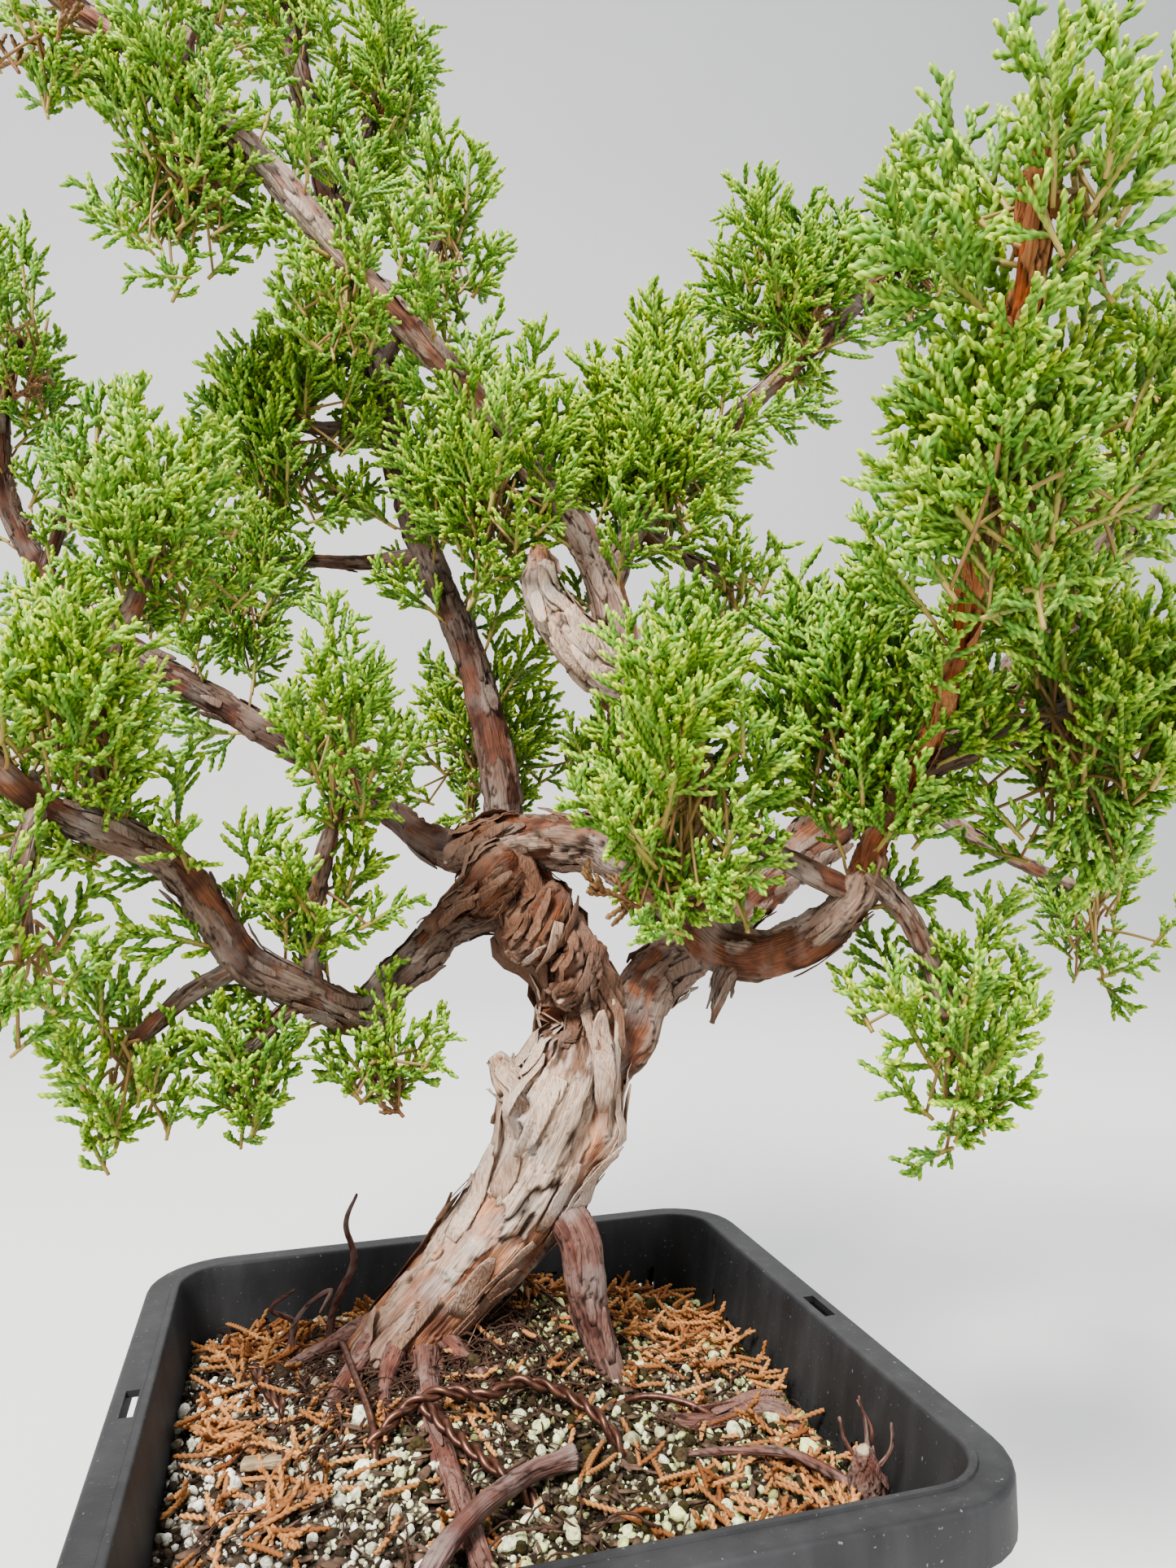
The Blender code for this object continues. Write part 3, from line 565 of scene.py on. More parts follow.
@dataclass(frozen=True)
class BarkFinish:
    """Flaking bark: weathered plates over a redder inner layer, with dark cracks between."""

    name: str
    plate_pale: Colour
    plate_dark: Colour
    inner_pale: Colour
    inner_dark: Colour
    crack: Colour
    later_tint: Colour
    silver: float = 0.35
    roughness: float = 0.88

    def build(self) -> Material:
        """Builds the material from the marks tone, bare, crack, change and grain."""
        finish = Finish(self.name, self.roughness, specular=0.2)
        grain = finish.mark("grain", "Vector")
        fibre = finish.speckle(1.0, 6.0, grain)
        blotch = finish.speckle(150.0, 4.0)
        outer = finish.ramp(finish.mark("tone"), (0.0, self.plate_dark), (1.0, self.plate_pale))
        inner = finish.ramp(blotch, (0.38, self.inner_dark), (0.62, self.inner_pale))
        colour = finish.mix(finish.mark("bare"), outer, inner)
        stops = ((0.32, (0.50, 0.46, 0.43)), (0.55, WHITE), (0.75, (1.28, 1.26, 1.22)))
        streaks = finish.ramp(fibre, *stops)
        colour = finish.mix(0.8, colour, streaks, "MULTIPLY")
        weather = finish.ramp(finish.speckle(95.0, 5.0), (0.48, BLACK), (0.66, WHITE))
        weather = finish.maths("MULTIPLY", weather, self.silver)
        colour = finish.mix(weather, colour, (0.50, 0.475, 0.445))
        later = finish.mix(1.0, colour, self.later_tint, "MULTIPLY")
        colour = finish.mix(finish.mark("change"), colour, later)
        colour = finish.mix(finish.mark("crack"), colour, self.crack)
        return finish.done(colour, fibre, 0.7 * MM)


@dataclass(frozen=True)
class LeafFinish:
    """Living scale leaves, yellower at the tips, with painted shade in the grooves between scales and painted
    light and shade from where each spray sits.
    """

    name: str = "juniper_scales"
    base: Colour = (0.080, 0.190, 0.024)
    middle: Colour = (0.235, 0.440, 0.050)
    tip: Colour = (0.540, 0.710, 0.095)
    # Painted shade laid into the grooves between scales.
    seam: Colour = (0.030, 0.080, 0.012)
    stem: Colour = (0.360, 0.270, 0.085)
    dead: Colour = (0.260, 0.120, 0.060)

    def build(self) -> Material:
        """Builds the material from the marks along, tint, crest, woody and dead."""
        finish = Finish(self.name, 0.52, specular=0.35)
        along, tint, crest = finish.mark("along"), finish.mark("tint"), finish.mark("crest")
        colour = finish.ramp(along, (0.0, self.base), (0.62, self.middle), (1.0, self.tip))
        # Partly painted light and shade: low values darken and blue the sprays deep in a pad or facing down,
        # high values brighten and yellow those outside and facing up; the rest is each spray's own random
        # colour.
        shade = finish.ramp(tint, (0.0, (0.58, 0.76, 0.78)), (0.5, WHITE), (1.0, (1.42, 1.20, 0.75)))
        colour = finish.mix(1.0, colour, shade, "MULTIPLY")
        colour = finish.mix(finish.mark("woody"), colour, self.stem)
        colour = finish.mix(finish.mark("dead"), colour, self.dead)
        # Painted shade: the grooves between scale crests are darkened towards the seam colour.
        painted_seam_shade = finish.maths("SUBTRACT", 1.0, crest)
        dark = finish.mix(0.7, colour, self.seam, "MULTIPLY")
        dark = finish.mix(0.75, colour, finish.mix(0.5, dark, self.seam))
        colour = finish.mix(painted_seam_shade, colour, dark)
        return finish.done(colour, finish.speckle(2600.0, 2.0), 0.1 * MM, 0.5)


@dataclass(frozen=True)
class DeadShootFinish:
    """Dry orange shoots, with painted shade in the grooves between scales."""

    name: str = "dry_orange_shoots"
    pale: Colour = (0.66, 0.34, 0.14)
    # The darkest shoots' own colour, also used as the painted shade in the grooves between scales.
    dark: Colour = (0.20, 0.075, 0.028)

    def build(self) -> Material:
        """Builds the material from the marks tint and crest."""
        finish = Finish(self.name, 0.8, specular=0.2)
        colour = finish.ramp(finish.mark("tint"), (0.0, self.dark), (1.0, self.pale))
        # Painted shade: the grooves between scale crests are darkened towards the dark colour.
        painted_seam_shade = finish.maths("SUBTRACT", 1.0, finish.mark("crest"))
        colour = finish.mix(painted_seam_shade, colour, finish.mix(0.65, colour, self.dark))
        return finish.done(colour, finish.speckle(1800.0, 3.0), 0.2 * MM, 0.6)


@dataclass(frozen=True)
class GrainFinish:
    """Loose mineral grains from white pumice to green-stained and dark crumbs."""

    name: str = "pumice_grains"

    def build(self) -> Material:
        """Builds the material from the marks tone and moss."""
        finish = Finish(self.name, 0.95, specular=0.2)
        stops = (
            (0.0, (0.030, 0.022, 0.016)),
            (0.17, (0.085, 0.060, 0.042)),
            (0.24, (0.34, 0.29, 0.22)),
            (0.55, (0.62, 0.60, 0.52)),
            (1.0, (0.92, 0.91, 0.86)),
        )
        colour = finish.ramp(finish.mark("tone"), *stops)
        pits = finish.ramp(finish.speckle(900.0, 5.0), (0.34, (0.45, 0.42, 0.38)), (0.55, (1.05, 1.05, 1.03)))
        colour = finish.mix(0.8, colour, pits, "MULTIPLY")
        green = finish.mix(0.9, colour, (0.80, 0.90, 0.42), "MULTIPLY")
        colour = finish.mix(finish.mark("moss"), colour, green)
        return finish.done(colour, finish.speckle(1500.0, 6.0), 0.5 * MM)


@dataclass(frozen=True)
class SoilFinish:
    """Dark damp fines under the grains."""

    name: str = "damp_fines"

    def build(self) -> Material:
        """Builds the material."""
        finish = Finish(self.name, 0.95, specular=0.15)
        mottle = finish.speckle(420.0, 8.0)
        stops = ((0.3, (0.014, 0.010, 0.007)), (0.5, (0.038, 0.026, 0.018)), (0.64, (0.20, 0.17, 0.13)))
        return finish.done(finish.ramp(mottle, *stops), finish.speckle(900.0, 6.0), 1.0 * MM)


@dataclass(frozen=True)
class PlasticFinish:
    """Matte black moulded plastic, scuffed and dusty."""

    name: str = "scuffed_black_plastic"
    base: Colour = (0.0200, 0.0200, 0.0212)
    dust: Colour = (0.16, 0.155, 0.15)

    def build(self) -> Material:
        """Builds the material."""
        finish = Finish(self.name, 0.5, specular=0.30)
        cloud = finish.speckle(38.0, 6.0)
        fleck = finish.speckle(1100.0, 2.0)
        place = finish.node("ShaderNodeTexCoord").outputs["Object"]
        streak_place = finish.node("ShaderNodeMapping", Vector=place)
        streak_place.inputs["Scale"].default_value = (220.0, 220.0, 24.0)
        streak = finish.speckle(1.0, 4.0, streak_place.outputs["Vector"])
        worn = finish.ramp(cloud, (0.35, self.base), (0.75, (0.044, 0.044, 0.047)))
        streaked = finish.ramp(streak, (0.45, BLACK), (0.85, WHITE))
        worn = finish.mix(finish.maths("MULTIPLY", streaked, 0.35), worn, (0.075, 0.075, 0.080))
        specks = finish.ramp(fleck, (0.70, BLACK), (0.76, WHITE))
        finish.set("Roughness", finish.ranged(cloud, 0.42, 0.66))
        return finish.done(finish.mix(specks, worn, self.dust), finish.speckle(1500.0, 3.0), 0.08 * MM, 0.6)


@dataclass(frozen=True)
class WireFinish:
    """Tarnished copper-coloured wire."""

    name: str = "tarnished_wire"

    def build(self) -> Material:
        """Builds the material."""
        finish = Finish(self.name, 0.42, metallic=0.7)
        tarnish = finish.speckle(520.0, 4.0)
        colour = finish.ramp(tarnish, (0.35, (0.055, 0.026, 0.019)), (0.7, (0.19, 0.088, 0.060)))
        finish.set("Roughness", finish.ranged(tarnish, 0.55, 0.32))
        return finish.done(colour, tarnish, 0.1 * MM, 0.4)


@dataclass(frozen=True)
class CutWoodFinish:
    """Dry weathered wood with a visible grain, or a fresh pale cut."""

    name: str
    pale: Colour
    dark: Colour

    def build(self) -> Material:
        """Builds the material from the mark grain."""
        finish = Finish(self.name, 0.85, specular=0.25)
        fibre = finish.speckle(1.0, 6.0, finish.mark("grain", "Vector"))
        return finish.done(finish.ramp(fibre, (0.3, self.dark), (0.7, self.pale)), fibre, 0.4 * MM, 0.8)


OLD_BARK = BarkFinish(
    "old_flaky_bark",
    plate_pale=(0.67, 0.52, 0.415), plate_dark=(0.37, 0.25, 0.185),
    inner_pale=(0.56, 0.29, 0.17), inner_dark=(0.27, 0.125, 0.080),
    crack=(0.030, 0.017, 0.011), later_tint=(0.36, 0.27, 0.23), silver=0.5,
)
LIMB_BARK = BarkFinish(
    "limb_bark",
    plate_pale=(0.30, 0.215, 0.170), plate_dark=(0.125, 0.080, 0.060),
    inner_pale=(0.23, 0.095, 0.052), inner_dark=(0.085, 0.035, 0.022),
    crack=(0.020, 0.011, 0.008), later_tint=(1.55, 0.98, 0.55), silver=0.28,
)
# Painted shade: a darker copy of the limb bark for the limbs at the back.
SHADED_BARK = BarkFinish(
    "shaded_bark",
    plate_pale=(0.20, 0.135, 0.108), plate_dark=(0.078, 0.048, 0.038),
    inner_pale=(0.15, 0.062, 0.040), inner_dark=(0.055, 0.024, 0.018),
    crack=(0.014, 0.008, 0.006), later_tint=(1.55, 0.98, 0.55), silver=0.16,
)
# Painted sunlight: a paler copy of the limb bark for the front leader.
SUNLIT_BARK = BarkFinish(
    "sunlit_bark",
    plate_pale=(0.46, 0.34, 0.275), plate_dark=(0.18, 0.115, 0.090),
    inner_pale=(0.33, 0.15, 0.095), inner_dark=(0.12, 0.050, 0.036),
    crack=(0.020, 0.011, 0.008), later_tint=(1.55, 0.98, 0.55), silver=0.30,
)
ROOT_BARK = BarkFinish(
    "root_skin",
    plate_pale=(0.25, 0.145, 0.120), plate_dark=(0.12, 0.052, 0.043),
    inner_pale=(0.23, 0.100, 0.075), inner_dark=(0.10, 0.040, 0.032),
    crack=(0.022, 0.013, 0.010), later_tint=(1.3, 1.2, 1.1), silver=0.22,
)
STICK_BARK = BarkFinish(
    "dry_root_skin",
    plate_pale=(0.235, 0.145, 0.128), plate_dark=(0.120, 0.066, 0.060),
    inner_pale=(0.20, 0.092, 0.078), inner_dark=(0.12, 0.055, 0.045),
    crack=(0.045, 0.026, 0.022), later_tint=(1.3, 1.2, 1.1), silver=0.25,
)


# -------- the basket


@dataclass(frozen=True)
class Level:
    """One level ring of the basket's section, and the row of slits that starts there."""

    inset: float
    height: float
    leaning: bool = True
    slit_row: int | None = None


@dataclass
class TrainingBasket:
    """A square basket moulded in one piece, with rows of slits low in its walls."""

    width: float
    depth: float
    height: float
    corner: float = 20.0 * MM
    ledge: float = 8.2 * MM
    lean: float = 14.0 * MM
    skirt: float = 11.0 * MM
    edge: float = 1.3 * MM
    floor: float = 1.5 * MM
    gauge: float = 1.5 * MM
    pitch: float = 4.0 * MM
    row_pitch: float = 4.1 * MM
    slit_height: float = 2.4 * MM
    plain_band: float = 17.0 * MM
    corner_steps: int = 8
    bead: float = 1.7 * MM
    rim_step: float = 0.45 * MM
    slot_half: float = 6.0 * MM
    slot_share: float = 0.52
    slot_wide: float = 1.4 * MM
    sharp_angle: float = 40.0

    @classmethod
    def from_frame(cls) -> "TrainingBasket":
        """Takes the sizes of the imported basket."""
        low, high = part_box("training_pot")
        return cls(high[0] - low[0], high[1] - low[1], high[2])

    def ring(self, inset: float, height: float, leaning: bool) -> Array:
        """A level ring of points this far inside the rim's outer edge.

        Args:
            inset: distance from the outer edge.
            height: the ring's level.
            leaning: whether it follows the sloping walls.

        Returns:
            Points, anticlockwise from above.
        """
        lean = self.lean * (1 - height / self.height) if leaning else 0.0
        radius = self.corner - inset
        half = np.array([self.width / 2 - inset - lean - radius, self.depth / 2 - inset - lean - radius])
        points = []
        signs = ((1, 1), (-1, 1), (-1, -1), (1, -1))
        for quarter, sign in enumerate(signs):
            turn = np.radians(90 * quarter + np.linspace(0, 90, self.corner_steps + 1))
            arc = half * sign + radius * np.stack([np.cos(turn), np.sin(turn)], axis=1)
            following = half * signs[(quarter + 1) % 4]
            last = following + radius * np.array([np.cos(turn[-1]), np.sin(turn[-1])])
            share = self.column_shares(quarter)[:, None]
            points += [arc, arc[-1] + (last - arc[-1]) * share]
        flat = np.concatenate(points)
        return np.column_stack([flat, np.full(len(flat), height)])

    def column_shares(self, quarter: int) -> Array:
        """Where the columns stand along a straight side, as shares of its length."""
        length = (self.width if quarter % 2 == 0 else self.depth) - 2 * self.corner
        count = round(length / self.pitch)
        return ((np.arange(count)[:, None] + np.array([0.0, 0.3, 0.5, 0.8])) / count).ravel()[1:]

    def column_kinds(self) -> Array:
        """For each column, 0 or 2 where a slit may stand, 1 or 3 for a bar and -1 in a corner."""
        kinds = []
        for quarter in range(4):
            straight = len(self.column_shares(quarter)) + 1
            kinds += [-1] * self.corner_steps + [index % 4 for index in range(straight)]
        return np.array(kinds)

    def profile(self) -> list[Level]:
        """The section's rings, from the floor up and out to the skirt's foot."""
        top, edge, ledge = self.height, self.edge, self.ledge
        rows = [Level(ledge + 1.2 * MM, self.floor), Level(ledge + 0.3 * MM, self.floor + 0.5 * MM)]
        count = int((top - self.plain_band - self.floor - 2 * MM) / self.row_pitch)
        start = top - self.plain_band - count * self.row_pitch
        for row in range(count):
            low = start + row * self.row_pitch
            rows += [Level(ledge, low, slit_row=row), Level(ledge, low + self.slit_height)]
        rows += [Level(ledge, top - self.plain_band * share) for share in (1.0, 0.6, 0.25)]
        for turn in np.radians([0, 30, 60, 90]):
            inset = ledge - edge * 0.6 * (1 - math.cos(turn))
            rows.append(Level(inset, top - edge * 0.6 * (1 - math.sin(turn))))
        bead = ledge - self.bead
        rim = top - self.rim_step
        rows += [Level(bead, top, False), Level(bead - 0.25 * MM, rim, False)]
        slot = ledge * self.slot_share
        rows += [Level(slot + side * self.slot_wide, rim, False) for side in (1, -1)]
        for turn in np.radians([0, 22, 45, 68, 90]):
            rows.append(Level(edge * (1 - math.sin(turn)), rim - edge * (1 - math.cos(turn)), False))
        rows += [Level(0.0, top - self.skirt * share, False) for share in (0.4, 0.7, 1.0)]
        return rows

    def build(self, material: Material) -> Piece:
        """Builds the whole basket as one moulding.

        Args:
            material: its plastic.

        Returns:
            The piece.
        """
        rows = self.profile()
        foot = self.ring(rows[0].inset, rows[0].height, True)
        shares = [0.06] + [0.1 + 0.06 * index for index in range(15)]
        rings = [foot * [share, share, 1] for share in shares]
        rings += [self.ring(level.inset, level.height, level.leaning) for level in rows]
        columns = len(foot)
        kinds = self.column_kinds()
        floor_rows = len(shares)
        slot_edge = self.ledge * self.slot_share + self.slot_wide
        slot_level = next(index for index, level in enumerate(rows) if abs(level.inset - slot_edge) < 1e-7)
        points = np.concatenate(rings)
        faces = []
        for row in range(len(rings) - 1):
            keep = np.ones(columns, dtype=bool)
            if row < floor_rows - 1 and row % 2:
                keep = kinds % 2 != 0
            elif row >= floor_rows:
                slit_row = rows[row - floor_rows].slit_row
                if slit_row is not None:
                    keep = kinds != (0 if slit_row % 2 else 2)
                if row - floor_rows == slot_level:
                    ring = rings[row]
                    middles = (ring + np.roll(ring, -1, axis=0)) / 2
                    beside = np.abs(middles[:, 0]) > self.width * 0.4
                    keep = ~((np.abs(middles[:, 1]) < self.slot_half) & beside)
            here = np.nonzero(keep)[0]
            after = (here + 1) % columns
            low, high = row * columns, (row + 1) * columns
            faces.append(np.stack([low + here, high + here, high + after, low + after], axis=1))
        centre = len(points)
        points = np.vstack([points, [[0, 0, self.floor]]])
        around = np.arange(columns)
        fan = np.stack([around, (around + 1) % columns, np.full(columns, centre)], axis=1)
        shell = MeshData(points, np.concatenate(faces), fan)
        piece = shell.to_object("slotted_basket", material)
        solid = piece.modifiers.new("gauge", "SOLIDIFY")
        solid.thickness = self.gauge
        solid.offset = -1.0
        solid.use_even_offset = True
        graph = bpy.context.evaluated_depsgraph_get()
        mesh = bpy.data.meshes.new_from_object(piece.evaluated_get(graph))
        piece.modifiers.clear()
        piece.data = mesh
        mesh.set_sharp_from_angle(angle=math.radians(self.sharp_angle))
        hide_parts("training_pot")
        return piece


# -------- the ground


@dataclass
class SoilBed:
    """Potting grains heaped round the trunk, with what lies among them."""

    basket: TrainingBasket
    drop: float = 18.0 * MM
    mound: float = 8.0 * MM
    spread: float = 34.0 * MM
    centre: tuple[float, float] = (-12.0 * MM, 22.0 * MM)
    hump: float = 1.1 * MM
    wall_dip: float = 1.2 * MM
    right_dip: float = 4.4 * MM
    heap: float = 11.0 * MM
    heap_spread: float = 13.0 * MM
    heap_centre: tuple[float, float] = (7.0 * MM, 34.0 * MM)
    rings: int = 90
    seed: int = 11

    def level(self, x: Array, y: Array) -> Array:
        """The plain height of the soil at each place."""
        away = (x - self.centre[0]) ** 2 + (y - self.centre[1]) ** 2
        return self.basket.height - self.drop + self.mound * np.exp(-away / (2 * self.spread**2))

    def surface(self, x: Array, y: Array) -> Array:
        """The height with its small hollows and humps."""
        place = np.stack([x, y, np.zeros_like(x)], axis=-1)
        humps = Noise.smooth(place / (11 * MM), self.seed) * self.hump
        edge = smooth_step(0.78, 1.0, np.maximum(np.abs(x), np.abs(y)) / self.inner_half())
        dip = self.wall_dip + self.right_dip * smooth_step(0.1, 0.8, x / self.inner_half())
        away = (x - self.heap_centre[0]) ** 2 + (y - self.heap_centre[1]) ** 2
        heap = self.heap * np.exp(-away / (2 * self.heap_spread**2))
        return self.level(x, y) + humps * (1 - edge) + heap - edge * dip

    def height_at(self, x: float, y: float) -> float:
        """The surface's height at one spot."""
        return float(self.surface(np.array(x), np.array(y)))

    def inner_half(self) -> float:
        """Half the clear width at the soil's level."""
        lean = self.basket.lean * self.drop / self.basket.height
        return self.basket.width / 2 - self.basket.ledge - lean

    def point(self, x: float, y: float, z: float) -> Array:
        """A place given in millimetres, with its height above the plain soil."""
        level = self.level(np.array(x * MM), np.array(y * MM))
        return np.array([x * MM, y * MM, float(level) + z * MM])

    def build_bed(self, material: Material) -> Piece:
        """Builds the body of fines that fills the basket."""
        basket = self.basket
        inset = basket.ledge + 0.1 * MM
        outline = basket.ring(inset, basket.height - self.drop, True)
        low = basket.ring(inset, basket.floor + 0.4 * MM, True)
        middle = basket.ring(inset, (basket.floor + basket.height - self.drop) / 2, True)
        rings = [low * [0.02, 0.02, 1], low, middle]
        for share in np.linspace(1.0, 0.012, self.rings):
            place = outline[:, :2] * share
            height = self.surface(place[:, 0], place[:, 1])
            grit = np.column_stack([place / (1.7 * MM), np.zeros(len(place))])
            height = height + Noise.rough(grit, self.seed + 5, 3) * 0.55 * MM
            rings.append(np.column_stack([place, height]))
        points = np.vstack([*rings, rings[0].mean(axis=0), rings[-1].mean(axis=0)])
        piece = MeshData(points, *tube_faces(len(rings), len(outline))).to_object("soil_fines", material)
        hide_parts("soil_bed")
        return piece

    def scatter(self, rng: Rng, spacing: float, share: float) -> Array:
        """Jittered places all over the soil, a given share of them kept."""
        half = self.inner_half() - spacing * 0.35
        steps = np.arange(-half, half + spacing / 2, spacing)
        grid = np.stack(np.meshgrid(steps, steps), axis=-1).reshape(-1, 2)
        grid = grid + rng.uniform(-0.5, 0.5, grid.shape) * spacing
        inside = np.all(np.abs(grid) < half, axis=1) & (rng.random(len(grid)) < share)
        corner = np.clip(np.abs(grid) - (half - 10 * MM), 0, None)
        return grid[inside & (np.hypot(*corner.T) < 10 * MM)]

    def build_grains(
        self,
        name: str,
        rng: Rng,
        size: tuple[float, float],
        spacing: float,
        share: float,
        fineness: int,
    ) -> MeshData:
        """Builds one size of grain as a single mesh.

        Args:
            name: what they are called, for the log.
            rng: the source of chance.
            size: smallest and largest radius.
            spacing: distance between neighbours.
            share: how many of the places are filled.
            fineness: subdivisions of each grain.

        Returns:
            The mesh with the marks tone and moss.
        """
        ball, faces = unit_ball(fineness)
        spots = self.scatter(rng, spacing, share)
        count = len(spots)
        radius = size[0] + (size[1] - size[0]) * rng.random(count) ** 1.6
        shape = np.repeat(ball[None], count, axis=0)
        reach = 1 + 0.30 * Noise.rough(shape * 1.4 + rng.uniform(0, 900, (count, 1, 3)), 3, 2)
        for _ in range(5):
            across = unit(rng.normal(size=(count, 1, 3)))
            toward = (shape * across).sum(-1)
            limit = rng.uniform(0.60, 0.86, (count, 1))
            reach = np.where(toward > 0.05, np.minimum(reach, limit / np.maximum(toward, 0.05)), reach)
        shape = shape * reach[..., None] * rng.uniform(0.72, 1.2, (count, 1, 3)) * radius[:, None, None]
        turns = random_turns(rng, count)
        shape = np.einsum("nij,nvj->nvi", turns, shape)
        height = self.surface(spots[:, 0], spots[:, 1]) + radius * rng.uniform(0.05, 0.75, count)
        centres = np.column_stack([spots, height])
        points = (shape + centres[:, None]).reshape(-1, 3)
        tris = (faces[None] + (np.arange(count) * len(ball))[:, None, None]).reshape(-1, 3)
        patch = Noise.smooth(np.column_stack([spots / (24 * MM), np.zeros(count)]), 41)
        kind = rng.random(count) + 0.22 * patch
        tone = np.where(kind > 0.50, rng.uniform(0.66, 1.0, count), rng.uniform(0.22, 0.52, count))
        tone = np.where(kind < 0.34, rng.uniform(0.0, 0.17, count), tone)
        side = smooth_step(-0.9, 0.3, spots[:, 0] / self.inner_half())
        moss = np.clip(side * 0.95 + 0.35 * patch + rng.uniform(-0.35, 0.35, count), 0, 1)
        LOG.info("%s: %d grains", name, count)
        spread = np.ones((1, len(ball)))
        marks = {"tone": (tone[:, None] * spread).ravel(), "moss": (moss[:, None] * spread).ravel()}
        return MeshData(points, np.zeros((0, 4), dtype=int), tris, marks)

    def build_layers(self, material: Material) -> list[Piece]:
        """Builds the grains of every size."""
        rng = np.random.default_rng(self.seed)
        sizes = {
            "coarse_pumice": ((1.4 * MM, 2.6 * MM), 9.5 * MM, 0.60, 2),
            "pumice_grains": ((0.70 * MM, 1.55 * MM), 2.8 * MM, 0.87, 1),
            "fine_crumbs": ((0.35 * MM, 0.85 * MM), 1.5 * MM, 0.9, 0),
        }
        pieces = []
        for name, (size, spacing, share, fineness) in sizes.items():
            grains = self.build_grains(name, rng, size, spacing, share, fineness)
            piece = grains.to_object(name, material)
            pieces.append(piece)
        return pieces


@dataclass
class Litter:
    """Dry shoots shed by the tree, hair roots and dark scraps that lie on the soil."""

    soil: SoilBed
    library: list[MeshData]
    dry_shoots: int = 190
    single_shoots: int = 420
    hairs: int = 420
    scraps: int = 650
    seed: int = 53

    def density(self, x: Array, y: Array) -> Array:
        """How thickly dry shoots lie at each place: thickest at the back and along the right wall."""
        half = self.soil.inner_half()
        back = smooth_step(0.0, 0.75, y / half)
        right = smooth_step(0.25, 0.9, x / half)
        left = smooth_step(0.30, 0.85, -x / half) * smooth_step(-0.7, 0.2, y / half)
        return np.clip(0.10 + 0.85 * np.maximum(np.maximum(back * 0.9, right), left), 0, 1)

    def spots(self, count: int, rng: Rng, even: bool) -> Array:
        """Random places on the soil, thicker where dry shoots gather unless even."""
        half = self.soil.inner_half() - 5 * MM
        found = rng.uniform(-half, half, (count * 6, 2))
        if not even:
            found = found[rng.random(len(found)) < self.density(found[:, 0], found[:, 1])]
        return found[:count]

    def build_dry_shoots(self, material: Material) -> Piece:
        """Builds the dry orange shoots, branched and single."""
        rng = np.random.default_rng(self.seed)
        maker = SprayMaker(rng, thickness=0.60 * MM, step=0.6 * MM)
        bends = rng.normal(0, 0.35, (5, 3)) * [1, 1, 0]
        singles = [
            maker.shoot(np.zeros(3), np.array([0, 0, 1.0]), size * MM, bend, 0.0)
            for size, bend in zip((5, 7, 9, 11, 13), bends)
        ]
        parts = []
        for index, (x, y) in enumerate(self.spots(self.dry_shoots + self.single_shoots, rng, False)):
            shapes = self.library if index < self.dry_shoots else singles
            shape = shapes[rng.integers(len(shapes))]
            heading = way_at(rng.uniform(0, FULL_TURN), rng.uniform(-0.05, 0.22))
            level = self.soil.height_at(x, y) + rng.uniform(0.6, 2.0) * MM
            spot, spin = np.array([x, y, level]), rng.uniform(0, FULL_TURN)
            parts.append(placed(shape, spot, heading, spin, 1.0, rng.normal(0, 0.3)))
        limit = self.soil.inner_half() - 0.6 * MM
        joined = MeshData.join(parts)
        joined.points[:, :2] = np.clip(joined.points[:, :2], -limit, limit)
        piece = joined.to_object("dry_shoots", material)
        return piece

    def build_hairs(self, material: Material) -> Piece:
        """Builds the hair roots, most of them round the trunk's foot."""
        rng = np.random.default_rng(self.seed + 1)
        parts = []
        limit = self.soil.inner_half() - 2 * MM
        for index in range(self.hairs):
            if index % 4:
                middle = (6 * MM, 18 * MM) if index % 8 == 1 else (-20 * MM, 20 * MM)
                away = rng.uniform(4, 27) * MM
                place = middle + away * way_at(rng.uniform(0, FULL_TURN))[:2]
            else:
                place = rng.uniform(-limit, limit, 2)
            way = rng.uniform(0, FULL_TURN)
            rows = []
            for _ in range(int(rng.integers(12, 34))):
                way += rng.normal(0, 0.35)
                place = np.clip(place + 1.3 * MM * way_at(way)[:2], -limit, limit)
                rows.append(place)
            flat = np.array(rows)
            height = self.soil.surface(flat[:, 0], flat[:, 1]) + 1.1 * MM
            arch = np.abs(np.sin(np.arange(len(flat)) * rng.uniform(0.15, 0.5)))
            height = height + arch * rng.uniform(0, 3.4) * MM
            centres = np.column_stack([flat, height])
            thick = rng.uniform(0.15, 0.38) * MM * np.linspace(1, 0.4, len(flat))[:, None] * np.ones((1, 5))
            hair = tube(centres, thick)
            hair.marks = {"grain": hair.points / (2 * MM)}
            parts.append(hair)
        piece = MeshData.join(parts).to_object("hair_roots", material)
        return piece

    def build_scraps(self, material: Material) -> Piece:
        """Builds splinters of bark and wood among the grains."""
        rng = np.random.default_rng(self.seed + 2)
        parts = []
        for x, y in self.spots(self.scraps, rng, True):
            turn, length = rng.uniform(0, FULL_TURN), rng.uniform(2.0, 6.5) * MM
            way = way_at(turn, rng.normal(0, 0.12))
            level = self.soil.height_at(x, y) + rng.uniform(0.5, 1.6) * MM
            centres = np.array([x, y, level]) + way * np.linspace(-0.5, 0.5, 5)[:, None] * length
            across = np.tile(unit(np.array([-way[1], way[0], rng.normal(0, 0.4)])), (5, 1))
            wide = rng.uniform(0.4, 1.1) * MM * np.array([0.5, 0.9, 1.0, 0.8, 0.4])
            scrap = ribbon(centres, across, np.cross(across, way), wide, 0.28 * MM)
            scrap.marks = {"grain": scrap.points / (2 * MM)}
            parts.append(scrap)
        piece = MeshData.join(parts).to_object("bark_scraps", material)
        return piece


